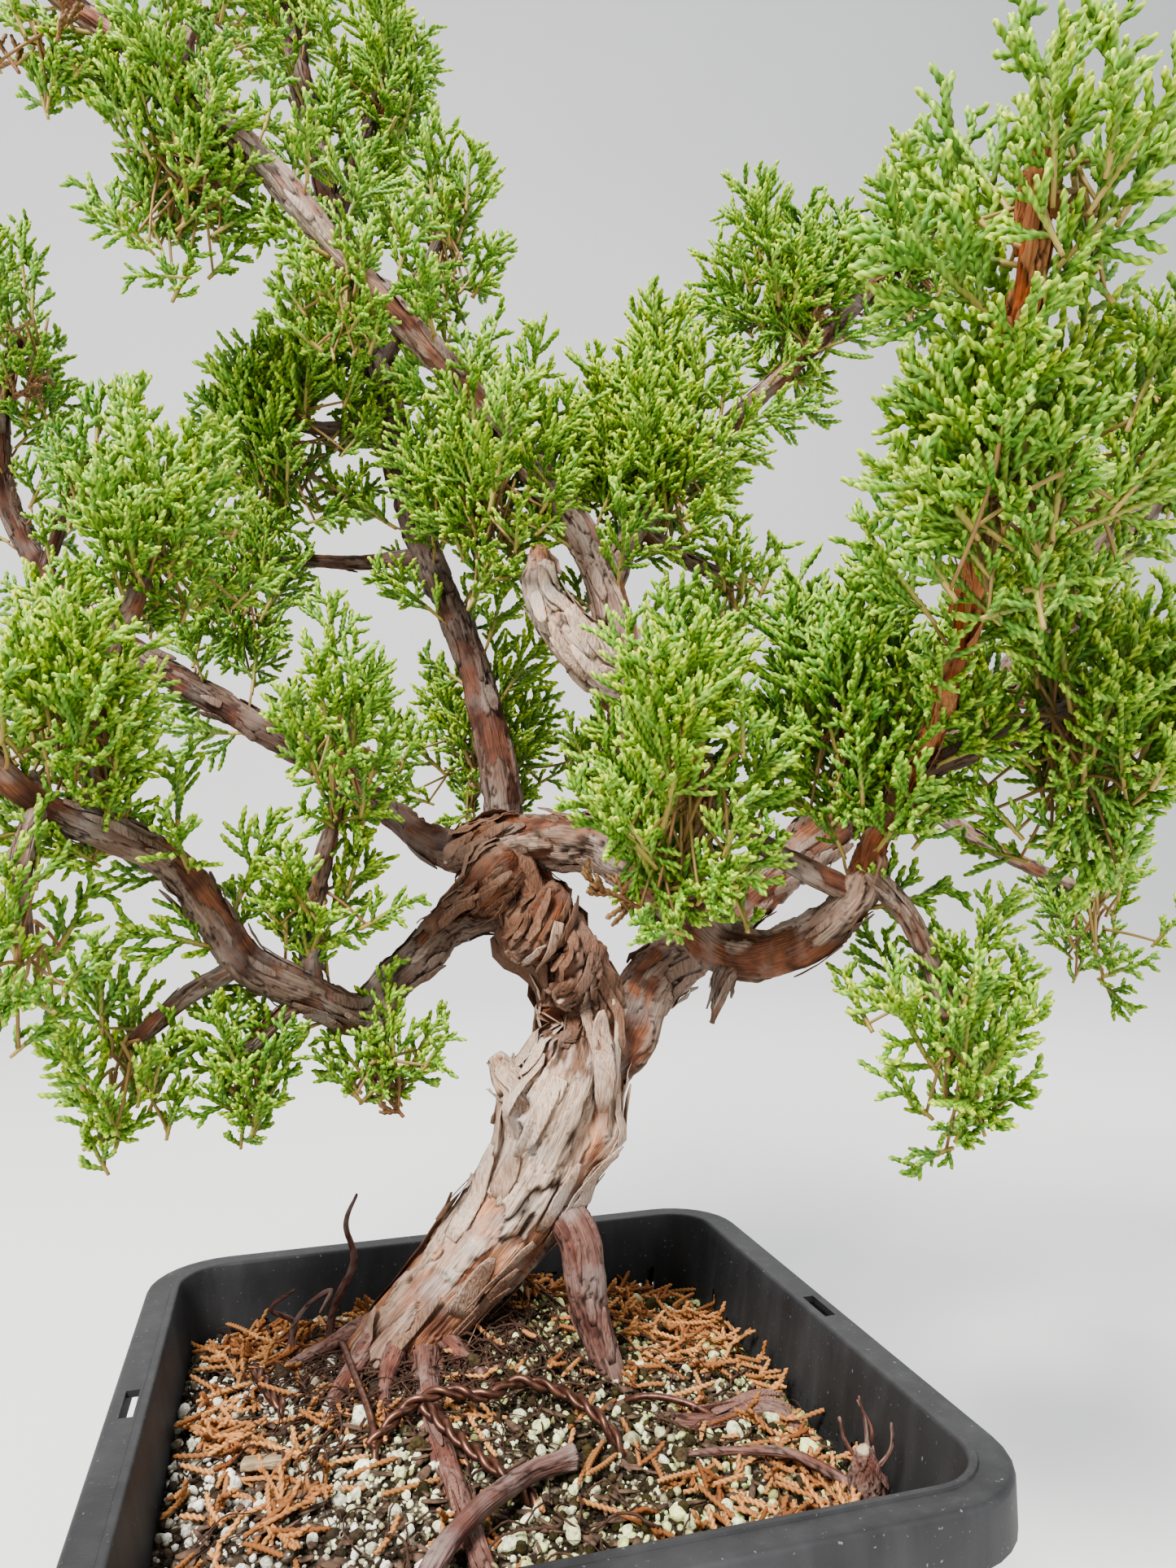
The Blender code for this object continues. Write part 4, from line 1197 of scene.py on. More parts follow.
def unit_ball(fineness: int) -> tuple[Array, Array]:
    """Points and faces of an even ball.

    Args:
        fineness: how many times each of the twenty faces is split in four.

    Returns:
        Unit points and triangles.
    """
    gold = GOLDEN_RATIO
    corners = [(-1, gold, 0), (1, gold, 0), (-1, -gold, 0), (1, -gold, 0)]
    corners += [(0, -1, gold), (0, 1, gold), (0, -1, -gold), (0, 1, -gold)]
    corners += [(gold, 0, -1), (gold, 0, 1), (-gold, 0, -1), (-gold, 0, 1)]
    points = [tuple(point) for point in unit(np.array(corners, dtype=float))]
    distances = np.linalg.norm(np.array(points)[:, None] - np.array(points)[None], axis=-1)
    edge = np.sort(distances, axis=1)[0, 1] * 1.05
    faces = []
    for a in range(12):
        for b in range(a + 1, 12):
            for c in range(b + 1, 12):
                if max(distances[a, b], distances[b, c], distances[a, c]) < edge:
                    normal = np.cross(np.subtract(points[b], points[a]), np.subtract(points[c], points[a]))
                    faces.append((a, b, c) if normal.dot(points[a]) > 0 else (a, c, b))
    for _ in range(fineness):
        middles: dict[tuple[int, int], int] = {}
        finer = []
        for a, b, c in faces:
            splits = []
            for first, second in ((a, b), (b, c), (c, a)):
                key = (min(first, second), max(first, second))
                if key not in middles:
                    middles[key] = len(points)
                    points.append(tuple(unit(np.add(points[first], points[second]))))
                splits.append(middles[key])
            ab, bc, ca = splits
            finer += [(a, ab, ca), (b, bc, ab), (c, ca, bc), (ab, bc, ca)]
        faces = finer
    return np.array(points), np.array(faces)


def random_turns(rng: Rng, count: int) -> Array:
    """Random rotations as 3 by 3 matrices."""
    first = unit(rng.normal(size=(count, 3)))
    second = rng.normal(size=(count, 3))
    second = unit(second - first * (first * second).sum(-1, keepdims=True))
    return np.stack([first, second, np.cross(first, second)], axis=-1)


# -------- bark-covered wood


RIBBON_SIDES = 8


def ribbon(centres: Array, across: Array, up: Array, wide: Array, thin: float) -> MeshData:
    """A thin closed strip.

    Args:
        centres: the strip's middle line.
        across: its sideways direction at each point.
        up: its outward direction at each point.
        wide: half its width at each point.
        thin: half its thickness.

    Returns:
        The mesh, with no marks.
    """
    angle = even_angles(RIBBON_SIDES)
    sideways = np.cos(angle)[None, :, None] * across[:, None] * wide[:, None, None]
    outward = np.sin(angle)[None, :, None] * up[:, None] * thin
    points = (centres[:, None] + sideways + outward).reshape(-1, 3)
    quads, tris = tube_faces(len(centres), RIBBON_SIDES)
    return MeshData(np.concatenate([points, centres[[0, -1]]]), quads, tris)


# Where the later look sets in along wood that never takes it.
NEVER = (1e6, 2e6)


@dataclass
class BarkTube:
    """A tapering run of wood with two layers of peeling plates.

    The later look (darker on the trunk, more orange on a young limb) sets in
    between the two lengths in later, and again below the length in foot.
    """

    knots: Array
    sides: int
    step: float
    plate_across: float
    plate_along: float
    depth: float
    lump: float = 0.10
    gnarl: float = 0.0
    bareness: float = 0.34
    crack_width: float = 0.085
    flakes: int = 0
    later: tuple[float, float] = NEVER
    foot: float = 0.0
    seed: int = 1

    def layer(self, place: Array, size: float, seed: int) -> tuple[Array, Array, Array]:
        """One layer of ragged plates.

        Args:
            place: tube positions, across and along.
            size: the plates' size against the largest.
            seed: which pattern.

        Returns:
            How cracked, how bright and how lifted each spot is.
        """
        scale = np.array([self.plate_across, self.plate_across, self.plate_along]) * size
        fields = [Noise.rough(place / scale * 1.7, seed + axis, 3) for axis in (11, 12, 13)]
        ragged = np.stack(fields, axis=-1)
        edge, tone, tilt = Noise.plates(place / scale + ragged * 0.62, seed)
        return 1 - smooth_step(0.0, self.crack_width, edge), tone, tilt

    def build(self) -> MeshData:
        """Builds the mesh with the marks tone, bare, crack, change and grain."""
        rows = smooth_route(self.knots, self.step)
        centres, radius = rows[:, :3], rows[:, 3]
        run = run_lengths(centres)
        turn = even_angles(self.sides)
        circle = np.stack([np.cos(turn), np.sin(turn)], axis=-1)[None] * radius[:, None, None]
        along = np.repeat(run[:, None], self.sides, axis=1)
        place = np.concatenate([circle, along[..., None]], axis=-1)
        crack, tone, tilt = self.layer(place, 1.0, self.seed)
        small_crack, small_tone, small_tilt = self.layer(place, 0.45, self.seed + 31)
        fibre = Noise.rough(place / [0.8 * MM, 0.8 * MM, 7 * MM], self.seed + 9, 3)
        worn = self.bareness + 0.25 * Noise.smooth(place / (14 * MM), self.seed + 21)
        bare = 1 - smooth_step(-0.03, 0.03, tone - worn)
        small_bare = 1 - smooth_step(-0.03, 0.03, small_tone - 0.30)
        cracked = np.clip(crack * (1 - bare) + 0.6 * small_crack * (1 - small_bare) * (1 - bare), 0, 1)
        lift = (1 - bare) * (0.75 + 0.5 * tone + 0.6 * np.clip(tilt, -0.5, 0.5) - 1.1 * crack)
        small_lift = 0.30 + 0.35 * np.clip(small_tilt, -0.5, 0.5) - 0.35 * small_crack
        lift += (1 - small_bare) * small_lift + 0.2 * fibre
        lobes = Noise.smooth(place / [radius.mean() * 1.3, radius.mean() * 1.3, 26 * MM], self.seed + 5)
        knots = Noise.rough(place / [5 * MM, 5 * MM, 8 * MM], self.seed + 6, 2)
        ragged_run = along + 9 * MM * fibre
        change = smooth_step(*self.later, ragged_run)
        if self.foot:
            foot = 1 - smooth_step(0.4 * self.foot, self.foot, ragged_run + 8 * MM * lobes)
            change = np.maximum(change, 0.75 * foot)
        gnarl = self.gnarl * (0.5 + 1.2 * np.exp(-along / (45 * MM)))
        reach = radius[:, None] * (1 + self.lump * lobes + gnarl * knots) + self.depth * (lift - 0.5)
        reach = self.shaped(centres, turn, along, reach)
        mesh = tube(centres, reach)
        shade = np.clip(0.55 * tone + 0.35 * small_tone + 0.22 * fibre + 0.08, 0, 1)
        marks = {
            "tone": shade,
            "bare": np.clip(bare * 0.95 + 0.25 * small_bare * (1 - bare), 0, 1),
            "crack": np.clip(cracked * 0.9, 0, 1),
            "change": change,
            "grain": place / [0.5 * MM, 0.5 * MM, 8 * MM],
        }
        mesh.marks = {name: with_tips(values) for name, values in marks.items()}
        if not self.flakes:
            return mesh
        return MeshData.join([mesh, *self.loose_flakes(centres, reach, turn, run, change)])

    def loose_flakes(
        self, centres: Array, reach: Array, turn: Array, run: Array, change: Array
    ) -> list[MeshData]:
        """Strips of bark that have come loose at one end.

        Args:
            centres: the wood's middle line.
            reach: its surface, row by row.
            turn: the angle of each column.
            run: length along it at each row.
            change: how far each spot has the later look.

        Returns:
            One mesh for each strip.
        """
        rng = np.random.default_rng(self.seed + 500)
        across, up = carried_frames(centres)
        spacing = run[-1] / (len(run) - 1)
        flakes = []
        for _ in range(self.flakes):
            length = rng.uniform(0.35, 0.9) * self.plate_along
            rows = max(4, int(length / spacing))
            first = int(rng.integers(2, max(3, len(run) - rows - 2)))
            column = int(rng.integers(len(turn)))
            picked = np.linspace(first, min(first + rows, len(run) - 1), 7).astype(int)
            if rng.random() < 0.5:
                picked = picked[::-1]
            angle = turn[column]
            outward = math.cos(angle) * across[picked] + math.sin(angle) * up[picked]
            sideways = math.cos(angle) * up[picked] - math.sin(angle) * across[picked]
            share = np.linspace(0, 1, 7)
            lifted = self.depth * (0.35 + rng.uniform(0.6, 2.2) * share**2)
            drift = rng.normal(0, 0.12) * length * share
            surface = centres[picked] + outward * (reach[picked, column] + lifted)[:, None]
            surface = surface + sideways * drift[:, None]
            outline = np.array([0.75, 1.0, 0.95, 1.0, 0.85, 0.7, 0.3])
            wide = rng.uniform(0.16, 0.42) * self.plate_across * outline
            curl = unit(outward + sideways * (rng.normal(0, 0.5) * share)[:, None])
            flake = ribbon(surface, np.cross(curl, unit(np.gradient(surface, axis=0))), curl, wide, 0.16 * MM)
            level = float(change[first, column])
            flake.mark_evenly(tone=rng.uniform(0.3, 1.0), bare=0.15, crack=0.0, change=level)
            flake.marks["grain"] = flake.points / [0.5 * MM, 0.5 * MM, 3 * MM]
            flakes.append(flake)
        return flakes

    def shaped(self, centres: Array, turn: Array, along: Array, reach: Array) -> Array:
        """Lets a kind of wood add larger features. Plain wood has none."""
        return reach


@dataclass
class OldTrunk(BarkTube):
    """The trunk, with a long groove in its front, a hollow knob and a gnarled upper bend."""

    groove_heading: Place = (0.22, -0.97, 0.0)
    groove_depth: float = 4.2 * MM
    groove_width: float = 0.014
    seam_heading: Place = (-0.55, -0.83, 0.1)
    seam_depth: float = 1.4 * MM
    seam_width: float = 0.006
    knot_depth: float = 4.4 * MM
    hollow_depth: float = 5.2 * MM
    collar_at: float = 82 * MM
    collar: float = 1.8 * MM
    knob: Place = (9.0 * MM, 13.5 * MM, 51.0 * MM)
    shoulder: Place = (22.0 * MM, 13.0 * MM, 58.0 * MM)
    flare: float = 1.8 * MM
    rim: float = 0.0

    def swelling(self, surface: Array, middle: Place, height: float, width: float) -> Array:
        """How far a round swelling lifts each point of a surface. Its middle is above the rim."""
        gap = np.linalg.norm(surface - [middle[0], middle[1], middle[2] + self.rim], axis=-1)
        return height * np.exp(-((gap / width) ** 2))

    def shaped(self, centres: Array, turn: Array, along: Array, reach: Array) -> Array:
        """Adds the groove, a second seam, the knob with its hollow, the gnarls and a flare at the foot."""
        outward = ring_ways(centres, turn)
        height = centres[:, 2][:, None] - self.rim
        span = smooth_step(-8 * MM, 6 * MM, height) * (1 - smooth_step(52 * MM, 62 * MM, height))
        heading = unit(np.array(self.groove_heading))
        swing = 0.10 * np.sin(along / (13 * MM) + 0.6)
        facing = (outward * heading).sum(-1) + swing * outward[..., 0]
        groove = np.exp(-np.clip(1.0 - facing, 0, None) / self.groove_width)
        reach = reach - self.groove_depth * groove * span
        seam = unit(np.array(self.seam_heading))
        line = np.exp(-np.clip(1 - (outward * seam).sum(-1) + 0.4 * swing**2, 0, None) / self.seam_width)
        reach = reach - self.seam_depth * line * span
        tangle = outward * reach[..., None] + centres[:, None]
        upper = smooth_step(58 * MM, 70 * MM, height)
        reach = reach + upper * (self.knot_depth * Noise.rough(tangle / (8 * MM), 77, 3))
        hollows = Noise.smooth(tangle / (6.0 * MM), 78)
        reach = reach - upper * self.hollow_depth * smooth_step(0.15, 0.5, hollows)
        reach = reach + self.collar * np.exp(-(((along - self.collar_at) / (7 * MM)) ** 2))
        surface = centres[:, None] + outward * reach[..., None]
        reach = reach + self.swelling(surface, self.knob, 5.0 * MM, 6.5 * MM)
        reach = reach - self.swelling(surface, self.knob, 6.0 * MM, 2.4 * MM)
        reach = reach + self.swelling(surface, self.shoulder, 2.6 * MM, 9 * MM)
        flare = np.exp(-np.clip(height + 12 * MM, 0, None) / (6 * MM))
        return reach + self.flare * flare * (1 + 0.6 * np.sin(3 * turn)[None])


# Burls and broken stubs on the upper trunk, as runs above the rim.
BURLS: list[Route] = [
    [(9, 20, 86, 3.0), (13, 18, 92, 7.5), (17, 18, 99, 7.0), (19, 20, 105, 3.0)],
    [(-4, 26, 98, 2.5), (0, 23, 103, 6.0), (6, 22, 109, 6.5), (11, 23, 113, 3.0)],
    [(18, 17, 76, 2.6), (22, 16, 81, 4.6), (24, 17, 88, 4.8), (22, 20, 95, 2.6)],
    [(-8, 29, 111, 2.5), (-2, 27, 115, 5.2), (6, 26, 119, 5.6), (13, 24, 120, 3.0)],
    [(2, 22, 105, 3.2), (-7, 18, 101, 2.6), (-15, 14, 96, 2.0)],
    [(20, 21, 116, 3.0), (27, 14, 118, 4.6), (34, 8, 117, 3.0)],
    [(3, 22, 62, 2.0), (6, 19, 57, 3.4), (10, 18, 50, 3.6), (12, 17, 44, 1.6)],
]
KNUCKLE: Route = [
    (37, 12, 156, 3.8), (29, 10, 160, 5.8), (21, 11, 169, 6.2), (15, 13, 180, 4.4), (15, 15, 192, 2.0),
]
# Roots that splay from the trunk's foot and thin ones that rise, with heights above the soil.
FOOT_ROOTS: list[Route] = [
    [(-26, 27, 7, 3.2), (-32, 20, 3, 2.3), (-38, 10, 1, 1.6), (-42, 2, -3, 1.0)],
    [(-22, 21, 6, 3.0), (-26, 11, 2.5, 2.0), (-27, 0, 1, 1.4), (-29, -12, -3, 0.9)],
    [(-12, 22, 6, 3.2), (-6, 14, 2.0, 2.0), (-1, 5, 0.6, 1.3), (3, -3, -3, 0.9)],
    [(-29, 33, 7, 2.8), (-38, 36, 3, 2.0), (-48, 34, 1, 1.3), (-57, 28, -3, 0.9)],
    [(-38, 44, -2, 1.0), (-36, 44, 10, 0.9), (-31, 45, 20, 0.8), (-33, 45, 30, 0.6), (-30, 46, 37, 0.3)],
    [(-44, 40, -2, 0.8), (-47, 42, 6, 0.7), (-43, 43, 12, 0.6), (-37, 41, 15, 0.5), (-40, 38, 11, 0.3)],
    [(-50, 44, -2, 0.8), (-46, 46, 7, 0.7), (-52, 44, 13, 0.5), (-46, 42, 17, 0.3)],
    [(66, -47, 2, 0.6), (67, -45, 12, 0.45), (65, -46, 19, 0.2)],
    [(64, -49, 4, 0.5), (69, -51, 10, 0.4), (70, -50, 15, 0.2)],
    [(66, -49, 4, 0.5), (62, -46, 10, 0.4), (60, -47, 16, 0.2)],
    [(65, -46, 4, 0.5), (70, -42, 9, 0.35), (69, -38, 14, 0.2)],
    [(63, -46, 2, 1.0), (54, -38, 5, 0.9), (44, -32, 4, 0.8), (34, -24, 0, 0.6), (28, -18, -3, 0.4)],
]


class WoodWorker:
    """Builds the trunk, the limbs, the roots and the cut pieces."""

    def __init__(self, soil: SoilBed) -> None:
        """Keeps the soil and the rim's level."""
        self.soil = soil
        self.rim = soil.basket.height
        self.old = OLD_BARK.build()
        self.limb = LIMB_BARK.build()
        self.shaded = SHADED_BARK.build()
        self.sunlit = SUNLIT_BARK.build()
        self.root = ROOT_BARK.build()
        self.stick = STICK_BARK.build()
        self.dry = CutWoodFinish("weathered_wood", (0.42, 0.33, 0.22), (0.17, 0.115, 0.07)).build()
        self.fresh = CutWoodFinish("pale_cut_wood", (0.50, 0.40, 0.29), (0.26, 0.19, 0.13)).build()

    def above_rim(self, run: Route) -> Array:
        """A tree run in metres."""
        knots = np.array(run, dtype=float) * MM
        knots[:, 2] += self.rim
        return knots

    def above_soil(self, run: Route) -> Array:
        """A ground run in metres."""
        return np.array([[*self.soil.point(x, y, z), radius * MM] for x, y, z, radius in run])

    def build_trunk(self) -> Piece:
        """Builds the trunk."""
        trunk = OldTrunk(
            self.above_rim(TRUNK_RUN), sides=200, step=0.46 * MM,
            plate_across=9.5 * MM, plate_along=36 * MM, depth=1.15 * MM,
            lump=0.12, bareness=0.38, flakes=110,
            later=(93 * MM, 100 * MM), foot=38 * MM, seed=5, rim=self.rim,
        )
        parts = [trunk.build()]
        for index, run in enumerate(BURLS):
            low = run[0][2] < 70
            burl = BarkTube(
                self.above_rim(run), sides=48, step=0.65 * MM,
                plate_across=5 * MM, plate_along=14 * MM, depth=1.0 * MM,
                lump=0.26, gnarl=0.34, bareness=0.30 if low else 0.36, flakes=24,
                later=NEVER if low else (-2 * MM, -1 * MM), seed=900 + 7 * index,
            )
            parts.append(burl.build())
        piece = MeshData.join(parts).to_object("flaky_trunk", self.old)
        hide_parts("trunk")
        return piece

    def build_limb(self, name: str, runs: list[Route], seed: int) -> Piece:
        """Builds a limb and the shoots that leave it.

        Args:
            name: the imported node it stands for.
            runs: the limb's own run, then its shoots.
            seed: the bark's pattern.

        Returns:
            The piece.
        """
        parts = []
        for index, run in enumerate(runs):
            knots = self.above_rim(run)
            stout = knots[:, 3].max()
            orange = name == "limb_right_front" and index == 0
            limb = BarkTube(
                knots,
                sides=72 if stout > 5 * MM else 48 if stout > 3.5 * MM else 24,
                step=0.6 * MM if index == 0 else 0.8 * MM,
                plate_across=max(2.2 * MM, stout * 0.75), plate_along=17 * MM,
                depth=0.085 * stout + 0.10 * MM,
                lump=0.14, gnarl=0.24 if index == 0 else 0.10, bareness=0.42,
                flakes=int(60 * stout / (6 * MM)) if index == 0 else 6,
                later=(105 * MM, 150 * MM) if orange else NEVER, seed=seed + index,
            )
            parts.append(limb.build())
        # The back leader and the far-left limb take the bark with painted shade, the front leader the bark
        # with painted sunlight.
        other = {
            "leader_back": self.shaded,
            "limb_far_left": self.shaded,
            "leader_front": self.sunlit,
        }
        material = other.get(name, self.limb)
        piece = MeshData.join(parts).to_object(f"{name}_wood", material)
        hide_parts(name)
        return piece

    def build_root(self, name: str, run: Route, seed: int) -> Piece:
        """Builds one root."""
        knots = self.above_soil(run)
        plates = (4.0 * MM, 20 * MM, 0.22 * MM)
        root = BarkTube(knots, 48, 0.5 * MM, *plates, lump=0.20, gnarl=0.12, flakes=14, seed=seed)
        piece = root.build().to_object(f"{name}_wood", self.root)
        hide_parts(name)
        return piece

    def build_foot_roots(self) -> Piece:
        """Builds the roots that splay from the trunk's foot and the thin ones that rise."""
        parts = []
        for index, run in enumerate(FOOT_ROOTS):
            knots = self.above_soil(run)
            stout = knots[:, 3].max() > 1.5 * MM
            sides, step = (32, 0.6 * MM) if stout else (10, 1.0 * MM)
            plates = (2.2 * MM, 10 * MM, 0.12 * MM)
            parts.append(BarkTube(knots, sides, step, *plates, lump=0.2, seed=610 + index).build())
        piece = MeshData.join(parts).to_object("foot_roots", self.root)
        return piece

    def build_stick(self) -> Piece:
        """Builds the cut root that lies across the front."""
        plates = (5.0 * MM, 24 * MM, 0.16 * MM)
        stick = BarkTube(self.above_soil(CUT_STICK), 48, 0.5 * MM, *plates, lump=0.18, gnarl=0.1, seed=71)
        piece = stick.build().to_object("cut_root_wood", self.stick)
        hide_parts("cut_root_stick")
        return piece

    def build_stump(self) -> list[Piece]:
        """Builds the root stump with its pale cut face."""
        knots = self.above_soil(STUMP)
        plates = (3.4 * MM, 9 * MM, 0.35 * MM)
        stump = BarkTube(knots, 56, 0.4 * MM, *plates, lump=0.12, flakes=8, seed=81).build()
        wood = stump.to_object("root_stump_wood", self.root)
        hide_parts("root_stump")
        rows = smooth_route(knots, 0.4 * MM)
        heading = unit(rows[-1, :3] - rows[-3, :3])
        centres = rows[-1, :3] + heading * np.linspace(-0.3 * MM, 0.7 * MM, 5)[:, None]
        angle = even_angles(36)
        rough = 1 + 0.07 * np.sin(3 * angle) + 0.04 * np.sin(7 * angle)
        reach = rows[-1, 3] * rough[None] * np.array([1.0, 1.0, 1.0, 0.97, 0.9])[:, None]
        face = tube(centres, reach)
        face.marks = {"grain": face.points / (1.2 * MM)}
        cut = face.to_object("stump_cut_face", self.fresh)
        return [wood, cut]

    def build_knuckle(self) -> Piece:
        """Builds the pale dead knuckle beside the front leader."""
        knuckle = BarkTube(
            self.above_rim(KNUCKLE), sides=64, step=0.5 * MM,
            plate_across=6 * MM, plate_along=18 * MM, depth=0.8 * MM,
            lump=0.2, gnarl=0.14, bareness=0.2, flakes=30, seed=977,
        )
        piece = knuckle.build().to_object("dead_knuckle", self.old)
        return piece

    def build_chip(self) -> Piece:
        """Builds the wooden chip that lies on the soil."""
        middle, half = packed_space("wood_chip")
        heading = way_at(math.radians(-8))
        centres = middle + heading * np.linspace(-0.94, 0.94, 30)[:, None] * half[0]
        angle = even_angles(40)
        sides, _ = carried_frames(centres)
        flat = abs(sides[0, 2]) < 0.5
        wide, thin = (half[1] * 0.82, half[2] * 0.9) if flat else (half[2] * 0.9, half[1] * 0.82)
        square = ((np.abs(np.cos(angle)) / wide) ** 7 + (np.abs(np.sin(angle)) / thin) ** 7) ** (-1 / 7)
        reach = square[None] * (1 + 0.05 * np.sin(centres[:, :1] * 2600) * np.cos(2 * angle)[None])
        reach[[0, -1]] *= 0.86
        chip = tube(centres, reach)
        chip.marks = {"grain": chip.points / np.array([5, 0.5, 0.5]) / MM}
        piece = chip.to_object("split_chip", self.dry)
        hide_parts("wood_chip")
        return piece


# -------- the wires


@dataclass
class AnchorWires:
    """Wires that hold the root ball down."""

    soil: SoilBed
    gauge: float = 0.80 * MM
    lay: float = 10.5 * MM
    step: float = 0.5 * MM

    def strand(self, centres: Array, offset: float, turn: float, run: Array) -> MeshData:
        """One strand wound round a route.

        Args:
            centres: the route.
            offset: distance from the route.
            turn: where round the route it starts.
            run: length along the route at each row.

        Returns:
            The strand's mesh.
        """
        across, up = carried_frames(centres)
        angle = turn + run / self.lay * 2 * math.pi
        path = centres + offset * (np.cos(angle)[:, None] * across + np.sin(angle)[:, None] * up)
        return tube(path, np.full((len(path), 12), self.gauge))

    def build(self, name: str, strand: Strand, material: Material) -> Piece:
        """Builds one length of wire.

        Args:
            name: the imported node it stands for.
            strand: single or twisted.
            material: its metal.

        Returns:
            The piece.
        """
        knots = np.array([[*self.soil.point(*place), 0.0] for place in WIRES[name]])
        rows = smooth_route(knots, self.step)
        centres = rows[:, :3]
        run = run_lengths(centres)
        if strand is Strand.SINGLE:
            mesh = self.strand(centres, 0.0, 0.0, run)
        else:
            offset = self.gauge * 0.96
            mesh = MeshData.join([self.strand(centres, offset, turn, run) for turn in (0.0, math.pi)])
        piece = mesh.to_object(f"{name}_metal", material)
        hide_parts(name)
        return piece


# -------- foliage


@dataclass
class SprayMaker:
    """Grows branching sprays of scale-covered shoots."""

    rng: Rng
    thickness: float = 0.60 * MM
    step: float = 0.72 * MM
    bulge: float = 0.24
    sides: int = 4
    side_spacing: float = 2.1 * MM
    short_spacing: float = 2.2 * MM
    shortest: float = 3.2 * MM
    shortest_tip: float = 3.4 * MM

    def shoot(self, start: Array, heading: Array, length: float, bend: Array, woody: float) -> MeshData:
        """One unbranched shoot.

        Args:
            start: its base.
            heading: the way it leaves.
            length: its length.
            bend: the way it turns towards as it grows.
            woody: how stem-like its base is.

        Returns:
            The mesh with the marks along, tint, crest, woody and dead.
        """
        count = max(4, int(length / self.step) + 1)
        share = np.linspace(0, 1, count)[:, None]
        headings = unit(unit(heading) + share * bend)
        centres = start + np.vstack([[0, 0, 0], np.cumsum(headings[:-1] * length / (count - 1), axis=0)])
        swell = np.interp(share[:, 0], [0, 0.25, 0.8, 0.94, 1], [0.82, 1.0, 1.0, 0.95, 0.60])
        rows, sides = np.arange(count)[:, None], np.arange(self.sides)[None, :]
        crest = ((rows + sides) % 2).astype(float)
        stem = np.clip(woody * 1.4 - share * 2.2 * woody, 0, 1)
        ridge = (crest * 2 - 1) * self.bulge * (1 - 0.7 * stem)
        reach = self.thickness * swell[:, None] * (1 + ridge)
        mesh = tube(centres, reach)
        mesh.points[-1] += headings[-1] * self.thickness * 0.45
        tone = self.rng.random()
        mesh.marks = {
            "along": with_tips(np.repeat(share, self.sides, axis=1)),
            "tint": np.full(len(mesh.points), tone),
            "crest": with_tips(np.clip(crest + stem, 0, 1)),
            "woody": with_tips(np.repeat(stem, self.sides, axis=1)),
            "dead": np.zeros(len(mesh.points)),
        }
        return mesh

    def spray(self, length: float, fullness: float = 1.0) -> MeshData:
        """A tapering plume: a stem with side shoots that bear short shoots, growing up the local Z axis.

        Args:
            length: the stem's length.
            fullness: how many side shoots, against the usual number.

        Returns:
            The joined mesh.
        """
        rng = self.rng
        lean = rng.normal(0, 0.14, 3) * [1, 1, 0]
        parts = [self.shoot(np.zeros(3), np.array([0, 0, 1.0]), length, lean, 1.0)]
        count = int(length * 0.86 / self.side_spacing * fullness)
        turn = rng.uniform(0, FULL_TURN)
        for index in range(count):
            share = 0.10 + 0.84 * (index + rng.uniform(-0.3, 0.3)) / max(count - 1, 1)
            share = min(max(share, 0.08), 0.96)
            turn += SPIRAL_TURN + rng.normal(0, 0.25)
            start = np.array([lean[0] * share * 0.5, lean[1] * share * 0.5, 1.0]) * length * share
            heading = unit(way_at(turn, rng.uniform(0.7, 1.2)))
            taper = np.interp(share, [0.0, 0.2, 0.6, 1.0], [0.36, 0.52, 0.42, 0.24])
            reach = max(length * taper * rng.uniform(0.75, 1.2), self.shortest)
            up = np.array([0, 0, 0.45]) + rng.normal(0, 0.12, 3)
            parts.append(self.shoot(start, heading, reach, up, 0.2))
            parts += self.side_shoots(start, heading, reach, up)
        return MeshData.join(parts)

    def side_shoots(self, start: Array, heading: Array, reach: float, up: Array) -> list[MeshData]:
        """The short shoots along a side shoot."""
        rng = self.rng
        parts = []
        if reach < self.shortest:
            return parts
        flip = 1.0
        plane = unit(np.cross(heading, rng.normal(size=3)))
        for share in np.arange(0.22, 0.88, self.short_spacing / reach):
            base = start + unit(heading + up * share * 0.5) * reach * share
            length = max(self.shortest_tip, reach * (0.78 - 0.42 * share) * rng.uniform(0.75, 1.3))
            way = heading + plane * flip * 0.66 + rng.normal(0, 0.16, 3)
            parts.append(self.shoot(base, way, length, up, 0.0))
            flip = -flip
        return parts


def placed(
    mesh: MeshData, base: Array, heading: Array, spin: float, scale: float, tint: float, dead: float = 0.0
) -> MeshData:
    """A copy of a spray set at a base, pointing along a heading.

    Args:
        mesh: the spray, growing up Z.
        base: where its stem starts.
        heading: where it points.
        spin: its turn about its own stem.
        scale: its size.
        tint: how much yellower and brighter it is: its own colour, and in the pads also painted light and
            shade.
        dead: how far it has dried.

    Returns:
        The placed copy.
    """
    axis = unit(heading)
    side = unit(np.cross(axis, [0.3, 0.9, 0.1]))
    other = np.cross(axis, side)
    first = side * math.cos(spin) + other * math.sin(spin)
    turn = np.stack([first, np.cross(axis, first), axis], axis=1)
    marks = dict(mesh.marks)
    marks["tint"] = np.clip(mesh.marks["tint"] * 0.55 + 0.22 + tint, 0, 1)
    marks["dead"] = mesh.marks["dead"] + dead
    return MeshData(mesh.points @ turn.T * scale + base, mesh.quads, mesh.tris, marks)


